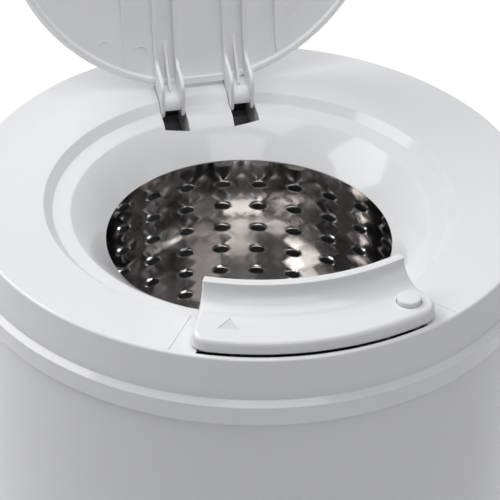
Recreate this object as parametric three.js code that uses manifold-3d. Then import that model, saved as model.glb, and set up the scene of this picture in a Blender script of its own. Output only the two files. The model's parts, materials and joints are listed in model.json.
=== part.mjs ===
// Round top-loading laundry spin dryer.
// Millimetres, +Z up, front towards -Y, +X to the right of someone who stands in front of it.
// The origin is on the floor, under the drum's axis.

import * as THREE from 'three';
import { mergeVertices } from 'three/addons/utils/BufferGeometryUtils.js';
import Module from 'manifold-3d';

const wasm = await Module();
wasm.setup();

// ------------------------------------------------------------------ driving dimensions

const gap = 0.3; // between pieces that seat on, in or against each other
const shellSides = 32; // flats round the large shells
const roundSides = 16; // flats round the small turned pieces
const studSides = 12; // and round the smallest

// Casing and base
const casingR = 166.6; // outside radius of the painted tube
const casingWall = 1.2;
const casingHeight = 549;
const footHeight = 18; // from the floor to the lower rim of the base
const footR = 17;
const footInset = 38.6; // from the casing's outside to a foot's middle
const baseWall = 3;
const baseRimHeight = 26;
const baseRimWall = 3;
const baseScrewR = 2;

// Top cover: the funnel mouth, the lid's ledge and step, and the skirt over the casing
const annulusWidth = 45.9; // from the step's top edge out to the shoulder
const funnelWidth = 21;
const funnelDrop = 19.4;
const ledgeWidth = 10.5;
const ledgeDrop = 1.7;
const stepWidth = 5.3;
const stepDrop = 4.9;
const annulusRise = 6.6; // over the same width
const coverWall = 2.8;
const shoulderOverhang = 1; // shoulder, band, bead and skirt, beyond the casing's radius
const bandOverhang = 1.9;
const beadOverhang = 5.8;
const skirtOverhang = 3.1;
const bandHeight = 26.8; // from the shoulder down to the bead
const beadDrop = 3.1;
const skirtHeight = 13.8; // below the bead

// Lid and its hinge
const lidGap = 2.2; // all round, to the step's top edge
const lidTopRise = 0.4; // the lid's rim above the step's top edge
const lidDome = 6;
const lidWall = 2.4;
const lidRimDepth = 3.6;
const lidBevel = 2.7;
const lidRearCut = 3.8; // depth of the straight cut at the back
const hingeInset = 3.6; // the hinge axis behind the step's top edge
const hingeDrop = 4.8; // the hinge axis below the step's top edge
const hingePinR = 2;
const lidOpenAngle = 104; // degrees from closed to the rest against the back of the slots
const armSpacing = 43.4; // between the two arms' middles
const armWidth = 14.8;
const armRib = 2.2;
const ribDepth = 4.6; // of the arms' ribs, below the step's top edge, with the lid closed
const ribLength = 159; // of the ribs across the lid, in front of the slots
const ribRamp = 26; // of it, where a rib rises out of the lid
const wedgeLength = 26;
const neckBulge = 16; // how far the goose-neck hangs below the hinge axis
const slotMargin = 0.35; // beside an arm
const slotLength = 26.4; // in front of the hinge axis
const slotRearMargin = 7.3; // behind the hinge axis
const cheekWall = 3; // plates under the cover that hold a pin
const cheekDepth = 18.2; // below the hinge axis

// Lock lever, its pocket in the cover, and what it works
const leverHalfAngle = 26.8;
const leverLipRise = 27.6; // the lip's top above the step's top edge
const leverLipWall = 4;
const leverPlateauRise = 15;
const leverCoveWidth = 12.9;
const leverCornerR = 11;
const leverWall = 2.6;
const leverTravel = 12;
const leverLift = 0.5; // over the pocket's floor
const leverLidRoom = 2.2; // the lip's underside above the step's top edge
const leverFrontGap = 1.6;
const pocketHalfAngle = 31.5;
const pocketRim = 3; // left standing in front of the pocket
const pocketDepth = 1;
const legRoom = 13.4143; // from the button's middle across to a leg's middle
const legWall = 3;
const legLength = 7;
const legInset = 17; // from the lever's outer face
const slidePlateMargin = 5; // beside a leg's middle
const slidePlateWall = 2;
const slidePlateDrop = 11; // its top, below the step's top edge
const switchInset = 35; // from the lever's outer face
const switchReach = 12; // beside the slide plate
const buttonR = 7;
const buttonAngle = 23; // round the drum's axis, from the front
const buttonInset = 13.5; // from the lever's outer face
const buttonRise = 3.5; // above the lever's plateau
const buttonTravel = 3;
const springWireR = 0.4;
const springTurns = 2.25;

// Drum
const drumRoom = 32.8; // between the perforated mantle and the tub
const drumWall = 1.2;
const drumDrop = 42; // the mantle's top edge, below the step's top edge
const holeColumns = 32;
const holeRows = 4;
const holePitch = 48.9; // from row to row
const holeFirstRow = 22; // below the mantle's top edge
const holeWidth = 9;
const holeHeight = 4.8;
const drumRimRise = 17;
const drumRimWidth = 23.2;
const drumFloorCrownR = 22;
const drumFloorCrownRise = 30;

// Shaft, motor and brake
const shaftR = 7.5;
const hubR = 16;
const hubFlangeR = 38;
const hubHeight = 20;
const nutHeight = 8;
const bearingR = 16;
const bearingWidth = 11;
const statorR = 58;
const statorHeight = 68;
const statorDepth = 25; // from the stator's outside in to the rotor
const windingHeight = 14;
const shieldWall = 3.6;
const carrierWall = 3;
const mountHeight = 30;
const mountR = 15;
const mountInset = 44.6; // from the casing's outside to a mount's middle
const mountBracketWidth = 36;
const mountBracketLip = 22; // from a mount's middle to the bracket's inner edge
const bracketWall = 2;
const bracketHeight = 34;
const fanR = 48;
const fanHeight = 12;
const fanBlades = 7;
const brakeDrumR = 32;
const brakeDrumHeight = 14;
const brakeArmWall = 5;
const brakeRoom = 48.7; // under the brake drum, down to the base's floor
const brakeArmReach = 6; // from under the stator's edge out to the arm's pivot and end
const brakePivotX = 18;
const brakeEndX = -58;
const tubDrop = 10; // the tub's floor under the hub
const bearingDrop = 38; // the upper bearing under the tub's floor
const neckRise = 22; // the upper shield's neck over the bearing

// Tub, drain and the electrical pieces
const tubRoom = 10.4; // between the tub's flange and the casing
const tubFlangeWidth = 5;
const tubFlangeWall = 3;
const tubWall = 2.5;
const tubTopRoom = 19.3; // under the lever's legs
const tubBracketWidth = 30;
const tubBracketReach = 16; // under the tub's floor
const tubCollarR = 36;
const tubCollarHeight = 12;
const drainR = 12;
const drainBoreR = 9.5;
const drainInset = 28; // from the tub's wall to the outlet's middle
const drainStubLength = 30;
const spoutDrop = 66; // the spout's axis below the tub's floor
const spoutReach = 23; // in front of the casing
const hoseWall = 2.4;
const hoseBend = 20;
const capacitorR = 18;
const capacitorHeight = 80;
const capacitorInset = 42.4; // from the casing's outside
const capacitorAngle = 40; // round the axis, from the front
const terminalInset = 53.4;
const terminalAngle = 136.4;
const terminalLength = 40;
const terminalWidth = 20;
const terminalHeight = 16;
const inletR = 9;
const inletBoreR = 4.2;
const inletZ = 78;
const inletAngle = 180; // round from the front
const cableR = 2.5;
const cableBend = 20;

// ------------------------------------------------------------------ derived places

const baseZ = footHeight + 6; // underside of the base's floor
const casingZ = baseZ + 2 * baseWall + gap;
const casingTopZ = casingZ + casingHeight;
const shoulderR = casingR + shoulderOverhang;
const bandR = casingR + bandOverhang;
const beadR = casingR + beadOverhang;
const skirtR = casingR + skirtOverhang;
const skirtInnerR = casingR + 0.5;
const bandInnerR = casingR - 1;
const shoulderZ = casingTopZ + gap + bandHeight + 4.3;
const stepZ = shoulderZ - annulusRise;
const beadZ = shoulderZ - bandHeight;
const seatZ = casingTopZ + gap;
const skirtZ = beadZ - beadDrop - skirtHeight;
const stepTopR = shoulderR - annulusWidth;
const stepFootR = stepTopR - stepWidth;
const funnelTopR = stepFootR - ledgeWidth;
const mouthR = funnelTopR - funnelWidth;
const stepFootZ = stepZ - stepDrop;
const funnelTopZ = stepFootZ - ledgeDrop;
const mouthZ = funnelTopZ - funnelDrop;

const hingeY = stepTopR + hingeInset;
const hingeZ = stepZ - hingeDrop;
const slotFrontY = hingeY - slotLength;
const armX = armSpacing / 2;
const slotHalf = armWidth / 2 + slotMargin;
const slotRearY = hingeY + slotRearMargin;
const lidR = stepTopR - lidGap;
const lidRimZ = stepZ + lidTopRise;

const drumTopZ = stepZ - drumDrop;
const footCircleR = casingR - footInset;
const mountCircleR = casingR - mountInset;
const tubR = casingR - casingWall - tubRoom - tubFlangeWidth;
const drumR = tubR - drumRoom; // outside radius of the perforated mantle
const drumRimMouthR = drumR - drumRimWidth;
const drainY = drainInset - tubR;
const drumInnerR = drumR - drumWall;
const rotorR = statorR - statorDepth;
const brakeDrumZ = baseZ + baseWall + brakeRoom;
const fanZ = brakeDrumZ + brakeDrumHeight + 4;
const lowerBearingZ = fanZ + fanHeight + shieldWall + 5;
const carrierZ = lowerBearingZ + bearingWidth + 17;
const statorZ = carrierZ + carrierWall + shieldWall + windingHeight + 2 * gap;
const statorTopZ = statorZ + statorHeight;
const upperBearingZ = statorTopZ + windingHeight + shieldWall + 4;
const tubZ = upperBearingZ + bearingDrop;
const tubFloorZ = tubZ + tubWall;
const hubZ = tubZ + tubDrop;
const drumZ = hubZ + hubHeight + 1;
const drumHeight = drumTopZ - drumZ;
const nutZ = drumZ + drumFloorCrownRise + gap;
const spoutZ = tubZ - spoutDrop;

// ------------------------------------------------------------------ making solids

// A closed solid from a geometry: shared vertices merged, faces turned outward.
function solid(geometry) {
  geometry.deleteAttribute('normal');
  geometry.deleteAttribute('uv');
  const merged = mergeVertices(geometry, 1e-4);
  const position = merged.getAttribute('position');
  const index = merged.getIndex().array;
  const triangles = [];
  let volume = 0;
  const [a, b, c] = [new THREE.Vector3(), new THREE.Vector3(), new THREE.Vector3()];
  for (let i = 0; i < index.length; i += 3) {
    const [p, q, r] = [index[i], index[i + 1], index[i + 2]];
    if (p === q || q === r || r === p) continue;
    triangles.push(p, q, r);
    a.fromBufferAttribute(position, p);
    b.fromBufferAttribute(position, q);
    c.fromBufferAttribute(position, r);
    volume += a.dot(b.cross(c));
  }
  if (volume < 0) triangles.reverse();
  return new wasm.Manifold(new wasm.Mesh({
    numProp: 3,
    vertProperties: new Float32Array(position.array),
    triVerts: new Uint32Array(triangles),
  }));
}

function geometryOf(shape) {
  const mesh = shape.getMesh();
  const geometry = new THREE.BufferGeometry();
  geometry.setAttribute('position', new THREE.Float32BufferAttribute(mesh.vertProperties, 3));
  geometry.setIndex(Array.from(mesh.triVerts));
  geometry.computeVertexNormals();
  return geometry;
}

const join = (first, ...rest) => rest.reduce((whole, piece) => whole.add(piece), first);
const cut = (first, ...rest) => rest.reduce((whole, piece) => whole.subtract(piece), first);

const polar = (radius, degrees) => {
  const angle = THREE.MathUtils.degToRad(degrees);
  return [radius * Math.sin(angle), -radius * Math.cos(angle)];
};

// A profile of [radius, height] points turned round the Z axis, or round one parallel to it.
function revolve(profile, sides = roundSides, x = 0, y = 0) {
  const points = profile.map(([radius, height]) => new THREE.Vector2(radius, height));
  const onAxis = profile[0][0] === 0 && profile[profile.length - 1][0] === 0;
  if (!onAxis) points.push(points[0].clone());
  const geometry = new THREE.LatheGeometry(points, sides);
  geometry.rotateX(Math.PI / 2);
  geometry.translate(x, y, 0);
  return solid(geometry);
}

const tube = (inner, outer, bottom, top, sides, x, y) =>
  revolve([[inner, bottom], [outer, bottom], [outer, top], [inner, top]], sides, x, y);

const disc = (radius, bottom, top, sides, x, y) =>
  revolve([[0, bottom], [radius, bottom], [radius, top], [0, top]], sides, x, y);

const shapeOf = (points) => new THREE.Shape(points.map(([x, y]) => new THREE.Vector2(x, y)));

// An outline in plan, from one height to another.
function slab(shape, bottom, top, curveSegments = 5) {
  const geometry = new THREE.ExtrudeGeometry(shape, {
    depth: top - bottom, bevelEnabled: false, curveSegments,
  });
  geometry.translate(0, 0, bottom);
  return solid(geometry);
}

// An outline of [y, z] points, from one x to another.
function sidePlate(shape, left, right, curveSegments = 4) {
  const geometry = new THREE.ExtrudeGeometry(shape, {
    depth: right - left, bevelEnabled: false, curveSegments,
  });
  const basis = new THREE.Matrix4().makeBasis(
    new THREE.Vector3(0, 1, 0), new THREE.Vector3(0, 0, 1), new THREE.Vector3(1, 0, 0));
  geometry.applyMatrix4(basis);
  geometry.translate(left, 0, 0);
  return solid(geometry);
}

function block(x0, x1, y0, y1, z0, z1) {
  const geometry = new THREE.BoxGeometry(x1 - x0, y1 - y0, z1 - z0);
  geometry.translate((x0 + x1) / 2, (y0 + y1) / 2, (z0 + z1) / 2);
  return solid(geometry);
}

// A round bar or a pipe along X or Y.
function barX(radius, x0, x1, y, z, sides = 10) {
  const geometry = new THREE.CylinderGeometry(radius, radius, x1 - x0, sides);
  geometry.rotateZ(-Math.PI / 2);
  geometry.translate((x0 + x1) / 2, y, z);
  return solid(geometry);
}

function barY(radius, y0, y1, x, z, sides = roundSides) {
  const geometry = new THREE.CylinderGeometry(radius, radius, y1 - y0, sides);
  geometry.translate(x, (y0 + y1) / 2, z);
  return solid(geometry);
}

// A round section, with a bore if one is given, along a curve through points.
function pipe(points, radius, boreR, sides = 10, steps = 16) {
  const path = new THREE.CatmullRomCurve3(points.map((p) => new THREE.Vector3(...p)));
  const section = new THREE.Shape();
  section.absarc(0, 0, radius, 0, 2 * Math.PI);
  if (boreR > 0) {
    const bore = new THREE.Path();
    bore.absarc(0, 0, boreR, 0, 2 * Math.PI, true);
    section.holes.push(bore);
  }
  return solid(new THREE.ExtrudeGeometry(section, {
    steps, extrudePath: path, curveSegments: sides,
  }));
}

function turned(shape, degrees) {
  return shape.rotate([0, 0, degrees]);
}

// ------------------------------------------------------------------ top cover

const annulusZ = (radius) =>
  stepZ + annulusRise * (radius - stepTopR) / (shoulderR - stepTopR);

// The cover's upper surface, from the mouth's lip out to the shoulder.
function coverTopLine() {
  return [[mouthR, mouthZ], [funnelTopR, funnelTopZ], [stepFootR, stepFootZ],
    [stepTopR, stepZ], [shoulderR - 1.2, annulusZ(shoulderR - 1.2)]];
}

function coverSkin() {
  const top = coverTopLine();
  const under = top.slice(1).reverse().map(([radius, height]) => [radius, height - coverWall]);
  under[0][0] = bandInnerR;
  const lip = [mouthR + 1.5, mouthZ - 1.4];
  return revolve([
    ...top, [bandR, shoulderZ - 1.6], [bandR, beadZ], [beadR, beadZ - beadDrop],
    [skirtR, skirtZ], [skirtInnerR, skirtZ], [skirtInnerR, seatZ], [bandInnerR, seatZ],
    ...under, lip,
  ], shellSides);
}

// A wedge of the plan, either side of the front.
function frontWedge(halfAngle, bottom, top) {
  const reach = 1.7 * shoulderR;
  return slab(shapeOf([[0, 0], polar(reach, -halfAngle), polar(reach, halfAngle)]), bottom, top);
}

const pocketR = shoulderR - pocketRim;
const pocketEndZ = annulusZ(pocketR) - pocketDepth;
const pocketZ = (radius) =>
  stepFootZ + (radius - stepFootR) * (pocketEndZ - stepFootZ) / (pocketR - stepFootR);

const leverOutR = pocketR - leverFrontGap;
const buttonCircleR = leverOutR - buttonInset;
const [buttonX, buttonY] = polar(buttonCircleR, buttonAngle);
const legX = buttonX - legRoom;

// Material under the pocket, and the space that the pocket takes out of it.
function pocketFloor() {
  const inner = stepFootR - 4;
  const outer = shoulderR - 1.6;
  const ring = revolve([
    [inner, stepFootZ - coverWall - 0.4], [outer, pocketEndZ - coverWall],
    [outer, annulusZ(outer) - 0.4], [stepTopR, stepZ - 0.6], [stepFootR, stepFootZ - 0.5],
    [inner, stepFootZ - 1.2],
  ], shellSides);
  return ring.intersect(frontWedge(pocketHalfAngle + 1, mouthZ, shoulderZ + 5));
}

function pocketSpace() {
  const above = shoulderZ + 5;
  const ring = revolve([[stepFootR, stepFootZ], [pocketR, pocketEndZ], [pocketR, above],
    [stepFootR, above]], shellSides);
  return ring.intersect(frontWedge(pocketHalfAngle, mouthZ, above + 1));
}

// The pair of plates under the cover that hold one hinge pin.
function hingeCheeks(x) {
  const half = slotHalf + cheekWall;
  const bottom = hingeZ - cheekDepth;
  const body = block(x - half, x + half, slotFrontY - cheekWall, slotRearY + cheekWall,
    bottom, shoulderZ);
  const line = coverTopLine().map(([radius, height]) => [radius, height - 0.6]);
  const last = line[line.length - 1];
  const under = revolve([...line, [last[0], bottom], [mouthR, bottom]], shellSides);
  return body.intersect(under);
}

const hingeSlot = (x) => block(x - slotHalf, x + slotHalf, slotFrontY, slotRearY,
  hingeZ - cheekDepth - 5, shoulderZ + 5);

const pinBore = (x) => barX(hingePinR + gap, x - slotHalf - cheekWall - 1,
  x + slotHalf + cheekWall + 1, hingeY, hingeZ);

const legFrontY = legInset - leverOutR;
const legSlot = (x) => block(x - legWall / 2 - 0.6, x + legWall / 2 + 0.6,
  legFrontY - 0.6, legFrontY + legLength + leverTravel + 0.6, stepFootZ - 12, shoulderZ);

const switchX = legX + slidePlateMargin + switchReach;
const switchY = switchInset - leverOutR;
const switchTopZ = stepZ - 8;
const switchBoss = (x) => disc(3, switchTopZ + 2 * gap + 1.8,
  pocketZ(Math.hypot(x, switchY)) - coverWall / 2, 8, x, switchY);

function topCover() {
  let cover = join(coverSkin(), pocketFloor());
  cover = cut(cover, pocketSpace());
  cover = join(cover, switchBoss(switchX - 6), switchBoss(switchX + 6));
  for (const x of [-armX, armX]) {
    cover = join(cover, hingeCheeks(x));
  }
  for (const x of [-armX, armX]) {
    cover = cut(cover, hingeSlot(x), pinBore(x));
  }
  for (const x of [-legX, legX]) {
    cover = cut(cover, legSlot(x));
  }
  return cover;
}

const hingePin = (x) => barX(hingePinR, x - slotHalf - cheekWall + 0.5,
  x + slotHalf + cheekWall - 0.5, hingeY, hingeZ);

// ------------------------------------------------------------------ lid, drawn closed

const lidTopZ = (radius) => lidRimZ + lidDome * (1 - (radius / lidR) ** 2);
const lidRearY = lidR - lidRearCut;

function lidDisc() {
  const radii = [0, 0.45 * lidR, 0.82 * lidR];
  const top = radii.map((radius) => [radius, lidTopZ(radius)]);
  const under = radii.map((radius) => [radius, lidTopZ(radius) - lidWall]).reverse();
  const foot = lidR - lidBevel;
  const rimZ = lidRimZ - lidRimDepth;
  const rim = [[lidR, lidRimZ], [foot, rimZ], [foot - 2, rimZ],
    [foot - 3, lidTopZ(foot - 3) - lidWall]];
  const whole = revolve([...top, ...rim, ...under], shellSides);
  return cut(whole, block(-lidR, lidR, lidRearY, lidR + 1, rimZ - 1, lidRimZ + lidDome));
}

// The rim along the straight cut, between and beside the arms.
function lidRearRim() {
  const half = Math.sqrt((lidR - lidBevel) ** 2 - lidRearY ** 2) - 0.5;
  return block(-half, half, lidRearY - 1.8, lidRearY, lidRimZ - lidRimDepth, lidRimZ - 0.6);
}

// Side rib of an arm: straight across the lid, then the goose-neck, the tail and the pin's eye.
function armRibShape() {
  const eyeR = 4.6;
  const inLid = (y) => lidTopZ(Math.hypot(y, armX)) - lidWall / 2;
  const frontY = slotFrontY - 2 - ribLength;
  const ribZ = stepZ - ribDepth;
  const bulgeZ = hingeZ - neckBulge;
  const shape = new THREE.Shape();
  shape.moveTo(frontY, inLid(frontY));
  shape.lineTo(frontY + ribRamp, ribZ);
  shape.lineTo(slotFrontY - 2, ribZ);
  shape.bezierCurveTo(slotFrontY + 7, ribZ, slotFrontY + 5, bulgeZ, hingeY - 10, bulgeZ);
  shape.lineTo(hingeY + 4, bulgeZ + 2.3);
  shape.quadraticCurveTo(hingeY + 6.8, bulgeZ + 3.2, hingeY + 6.4, bulgeZ + 6);
  shape.lineTo(hingeY + eyeR, hingeZ);
  shape.absarc(hingeY, hingeZ, eyeR, 0, Math.PI / 2, false);
  shape.lineTo(lidRearY, lidRimZ - 0.6);
  shape.lineTo(0.8 * lidRearY, inLid(0.8 * lidRearY));
  shape.lineTo(0.4 * lidRearY, inLid(0.4 * lidRearY));
  shape.lineTo(0, inLid(0));
  return shape;
}

// A point of the open lid's plan side, [y, z], taken round the hinge to where it is when closed.
function closedPoint([y, z]) {
  const angle = THREE.MathUtils.degToRad(lidOpenAngle);
  const [dy, dz] = [y - hingeY, z - hingeZ];
  return [hingeY + dy * Math.cos(angle) - dz * Math.sin(angle),
    hingeZ + dy * Math.sin(angle) + dz * Math.cos(angle)];
}

// The rounded web between the ribs: a hood over the pin that runs back into the lid's edge.
function armHoodShape() {
  const [centreY, centreZ, outerR, wall] = [hingeY - 3.6, hingeZ + 0.8, 8, 2];
  const at = (radius, degrees) => {
    const angle = THREE.MathUtils.degToRad(degrees);
    return closedPoint([centreY + radius * Math.cos(angle), centreZ + radius * Math.sin(angle)]);
  };
  const angles = [205, 178, 151, 124, 97, 70];
  const outside = angles.map((angle) => at(outerR, angle));
  const inside = [...angles].reverse().map((angle) => at(outerR - wall, angle));
  const edge = [lidRearY - 0.5, lidRimZ - lidRimDepth];
  return shapeOf([...outside, edge, [lidRearY - 0.5, edge[1] + 2.4], ...inside]);
}

// The tapered rib in the middle of an arm's channel.
function armWedgeShape() {
  const startY = lidRearY - wedgeLength;
  const tip = closedPoint([hingeY - 4.5, hingeZ + 10.5]);
  return shapeOf([[startY, lidTopZ(startY) - lidWall / 2], tip,
    closedPoint([hingeY - 2.5, hingeZ + 8]), [lidRearY - 0.6, lidRimZ - 1.6]]);
}

function lidArm(x) {
  const outer = armWidth / 2;
  const ribs = [x - outer, x + outer - armRib].map((left) =>
    sidePlate(armRibShape(), left, left + armRib));
  const hood = sidePlate(armHoodShape(), x - outer + 1, x + outer - 1);
  const wedge = sidePlate(armWedgeShape(), x - 0.7, x + 0.7);
  const bore = barX(hingePinR + gap, x - outer - 1, x + outer + 1, hingeY, hingeZ);
  return cut(join(ribs[0], ribs[1], hood, wedge), bore);
}

function lid() {
  const whole = join(lidDisc(), lidRearRim(), lidArm(-armX), lidArm(armX));
  return whole.translate([0, -hingeY, -hingeZ]);
}

// ------------------------------------------------------------------ lock lever and button

const leverInR = stepTopR + 0.2;
const leverTopZ = stepZ + leverPlateauRise;
const leverBottomZ = (radius) => pocketZ(radius) + leverLift;
const lidRoomR = lidR + leverTravel + 1;

// The cove between the upright lip and the plateau, as a quarter of an ellipse.
function covePoints() {
  const centreR = leverInR + leverLipWall + leverCoveWidth;
  const centreZ = stepZ + leverLipRise - 3;
  const height = centreZ - leverTopZ;
  return [180, 203, 226, 248, 270].map((degrees) => {
    const angle = THREE.MathUtils.degToRad(degrees);
    return [centreR + leverCoveWidth * Math.cos(angle), centreZ + height * Math.sin(angle)];
  });
}

function leverSection() {
  const lipZ = stepZ + leverLipRise;
  const roomZ = stepZ + leverLidRoom;
  return [
    [leverInR, roomZ], [leverInR + 0.6, lipZ - 1.6], [leverInR + 1.5, lipZ - 0.2],
    [leverInR + 3, lipZ], [leverInR + 3.9, lipZ - 1], ...covePoints(),
    [leverOutR - 3, leverTopZ], [leverOutR - 1, leverTopZ - 1], [leverOutR - 0.4, leverTopZ - 3],
    [leverOutR, leverBottomZ(leverOutR)], [lidRoomR + 1, leverBottomZ(lidRoomR + 1)],
    [lidRoomR, roomZ],
  ];
}

function leverPlan(halfAngle, outerR, cornerR) {
  const turn = THREE.MathUtils.radToDeg(cornerR / outerR);
  const shape = new THREE.Shape();
  shape.moveTo(...polar(0.8 * leverInR, -halfAngle));
  shape.lineTo(...polar(outerR - cornerR, -halfAngle));
  shape.quadraticCurveTo(...polar(outerR, -halfAngle), ...polar(outerR, turn - halfAngle));
  const beyond = 1.3 * outerR;
  shape.lineTo(...polar(beyond, turn - halfAngle));
  shape.lineTo(...polar(beyond, halfAngle - turn));
  shape.lineTo(...polar(outerR, halfAngle - turn));
  shape.quadraticCurveTo(...polar(outerR, halfAngle), ...polar(outerR - cornerR, halfAngle));
  shape.lineTo(...polar(0.8 * leverInR, halfAngle));
  return shape;
}

// The hollow under the plateau, open downward.
function leverHollow() {
  const ceiling = leverTopZ - leverWall;
  const innerR = lidRoomR + leverWall + 1;
  const outerR = leverOutR - leverWall;
  const floor = stepFootZ - 5;
  const ring = revolve([[innerR, floor], [innerR, ceiling], [outerR - 1, ceiling],
    [outerR, ceiling - 1.5], [outerR, floor]], 2 * shellSides);
  const plan = leverPlan(leverHalfAngle - 1.25, outerR, leverCornerR - leverWall);
  return ring.intersect(slab(plan, floor - 1, leverTopZ));
}

const cupR = buttonR + 1.1;
const cupWall = 1.6;
const cupZ = leverBottomZ(buttonCircleR + cupR + cupWall) + 0.3;

const plateTopZ = stepZ - slidePlateDrop;
const legShoulderZ = plateTopZ + gap;
const legBottomZ = plateTopZ - slidePlateWall - 1.7;

function leverLeg(x) {
  const top = leverTopZ - leverWall + 0.5;
  const wide = block(x - legWall / 2, x + legWall / 2, legFrontY, legFrontY + legLength,
    legShoulderZ, top);
  const tongue = block(x - legWall / 2, x + legWall / 2, legFrontY + 1.5,
    legFrontY + legLength - 1.5, legBottomZ, legShoulderZ + 1);
  return join(wide, tongue);
}

function lockLever() {
  const plan = slab(leverPlan(leverHalfAngle, leverOutR, leverCornerR), stepFootZ - 6,
    stepZ + leverLipRise + 1);
  const well = disc(cupR, stepFootZ, leverTopZ - leverWall, roundSides, buttonX, buttonY);
  const shell = cut(revolve(leverSection(), 2 * shellSides).intersect(plan), leverHollow(), well);
  const cup = tube(cupR, cupR + cupWall, cupZ, leverTopZ - leverWall + 0.5, roundSides,
    buttonX, buttonY);
  const bore = disc(buttonR + 0.4, leverTopZ - leverWall - 1, leverTopZ + 2, roundSides,
    buttonX, buttonY);
  return cut(join(shell, cup, leverLeg(-legX), leverLeg(legX)), bore);
}

const flangeTopZ = leverTopZ - leverWall - gap;
const flangeZ = flangeTopZ - 1.5;

function releaseButton() {
  const top = leverTopZ + buttonRise;
  return revolve([[0, flangeZ], [cupR - gap, flangeZ], [cupR - gap, flangeTopZ],
    [buttonR, flangeTopZ], [buttonR, top - 0.9],
    [buttonR - 0.9, top - 0.2], [0, top]], roundSides, buttonX, buttonY);
}

const retainerTopZ = cupZ + 1.2;
const buttonRetainer = () =>
  tube(2, cupR - gap, cupZ, retainerTopZ, studSides, buttonX, buttonY);

// A conical spring, which presses flat, between the retainer and the button's flange.
function buttonSpring() {
  const bottom = retainerTopZ + gap + springWireR;
  const top = flangeZ - gap - springWireR;
  const steps = Math.round(8 * springTurns);
  const points = [];
  for (let i = 0; i <= steps; i += 1) {
    const angle = (2 * Math.PI * i) / 8;
    const coilR = cupR - 1.2 - 3.5 * (i / steps);
    points.push([buttonX + coilR * Math.cos(angle), buttonY + coilR * Math.sin(angle),
      bottom + (top - bottom) * (i / steps)]);
  }
  return pipe(points, springWireR, 0, 2, steps);
}

const plateFrontY = legFrontY - 6;
const plateRearY = legFrontY + legLength + 0.8;

// The brake cable runs down the middle of one of the casing's flats, against it.
const cableRunR = (casingR - casingWall) * Math.cos(Math.PI / shellSides) - gap - cableR;
const [cableX, cableY] = polar(cableRunR, -180 / shellSides);

// The steel plate under the pocket that the lever's legs carry.
function slidePlate() {
  const half = legX + slidePlateMargin;
  const body = block(-half, half, plateFrontY, plateRearY, plateTopZ - slidePlateWall, plateTopZ);
  const ear = block(half - 1, switchX, plateFrontY, plateFrontY + 6,
    plateTopZ - slidePlateWall, plateTopZ);
  const eye = block(cableX - 4, cableX + 4, plateFrontY + 2, plateFrontY + 4,
    plateTopZ - 9, plateTopZ - 1);
  const holes = [-legX, legX].map((x) => block(
    x - legWall / 2 - gap, x + legWall / 2 + gap, legFrontY + 1.5 - gap,
    legFrontY + legLength - 1.5 + gap, plateTopZ - slidePlateWall - 1, plateTopZ + 1));
  return cut(join(body, ear, eye), ...holes);
}

function interlockSwitch() {
  const bottom = switchTopZ - 12;
  const body = block(switchX - 10, switchX + 10, switchY - 4, switchY + 5, bottom, switchTopZ);
  const front = plateFrontY + 6 + leverTravel + 0.5;
  const plunger = block(switchX - 4, switchX - 1, front, switchY - 3.5,
    plateTopZ - 2.5, plateTopZ + 0.5);
  return join(body, plunger);
}

const switchBracket = () => block(switchX - 11, switchX + 11, switchY - 5, switchY + 5,
  switchTopZ + gap, switchTopZ + gap + 1.8);

// ------------------------------------------------------------------ drum

// The perforated mantle: one flat for each column of holes, rolled into a closed tube.
function drumMantle() {
  const halfWidth = drumInnerR * Math.tan(Math.PI / holeColumns);
  const outline = [[-halfWidth, 0], [halfWidth, 0], [halfWidth, drumHeight],
    [-halfWidth, drumHeight]].map(([x, y]) => new THREE.Vector2(x, y));
  const holes = [];
  for (let row = 0; row < holeRows; row += 1) {
    const y = drumHeight - holeFirstRow - row * holePitch;
    const [w, h] = [holeWidth / 2, holeHeight / 2];
    holes.push([[-w, y], [0, y + h], [w, y], [0, y - h]]
      .map(([px, py]) => new THREE.Vector2(px, py)));
  }
  const faces = THREE.ShapeUtils.triangulateShape(outline, holes);
  const flat = [outline, ...holes].flat();
  const spread = drumR / drumInnerR; // the outer face of a flat is as much wider
  const positions = [];
  const corner = (point, outside, column) => {
    const isEdge = Math.abs(point.x) > halfWidth - 1e-6;
    const x = outside && isEdge ? point.x * spread : point.x;
    const depth = outside ? drumR : drumInnerR;
    const angle = (2 * Math.PI * column) / holeColumns;
    return [depth * Math.sin(angle) + x * Math.cos(angle),
      -depth * Math.cos(angle) + x * Math.sin(angle), drumZ + point.y];
  };
  for (let column = 0; column < holeColumns; column += 1) {
    for (const [a, b, c] of faces) {
      for (const i of [a, b, c]) positions.push(...corner(flat[i], true, column));
      for (const i of [c, b, a]) positions.push(...corner(flat[i], false, column));
    }
    const wall = (p, q) => {
      const [p0, q0] = [corner(p, false, column), corner(q, false, column)];
      const [p1, q1] = [corner(p, true, column), corner(q, true, column)];
      positions.push(...p1, ...p0, ...q0, ...p1, ...q0, ...q1);
    };
    wall(outline[0], outline[1]);
    wall(outline[2], outline[3]);
    for (const hole of holes) {
      hole.forEach((point, i) => wall(point, hole[(i + 1) % hole.length]));
    }
  }
  const geometry = new THREE.BufferGeometry();
  geometry.setAttribute('position', new THREE.Float32BufferAttribute(positions, 3));
  return solid(geometry);
}

// The rolled rim that narrows the drum's mouth, let into the mantle from above.
function drumRim() {
  const z = drumTopZ + gap;
  const edge = drumR / Math.cos(Math.PI / holeColumns);
  const top = z + drumRimRise;
  const line = [[edge, z], [edge - 3, z + 0.6 * drumRimRise], [drumRimMouthR, top]];
  const inner = line.map(([radius, height]) => [radius - drumWall, height - drumWall]).reverse();
  inner[inner.length - 1] = [edge - drumWall, z];
  return revolve([...line, ...inner], holeColumns);
}

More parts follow.
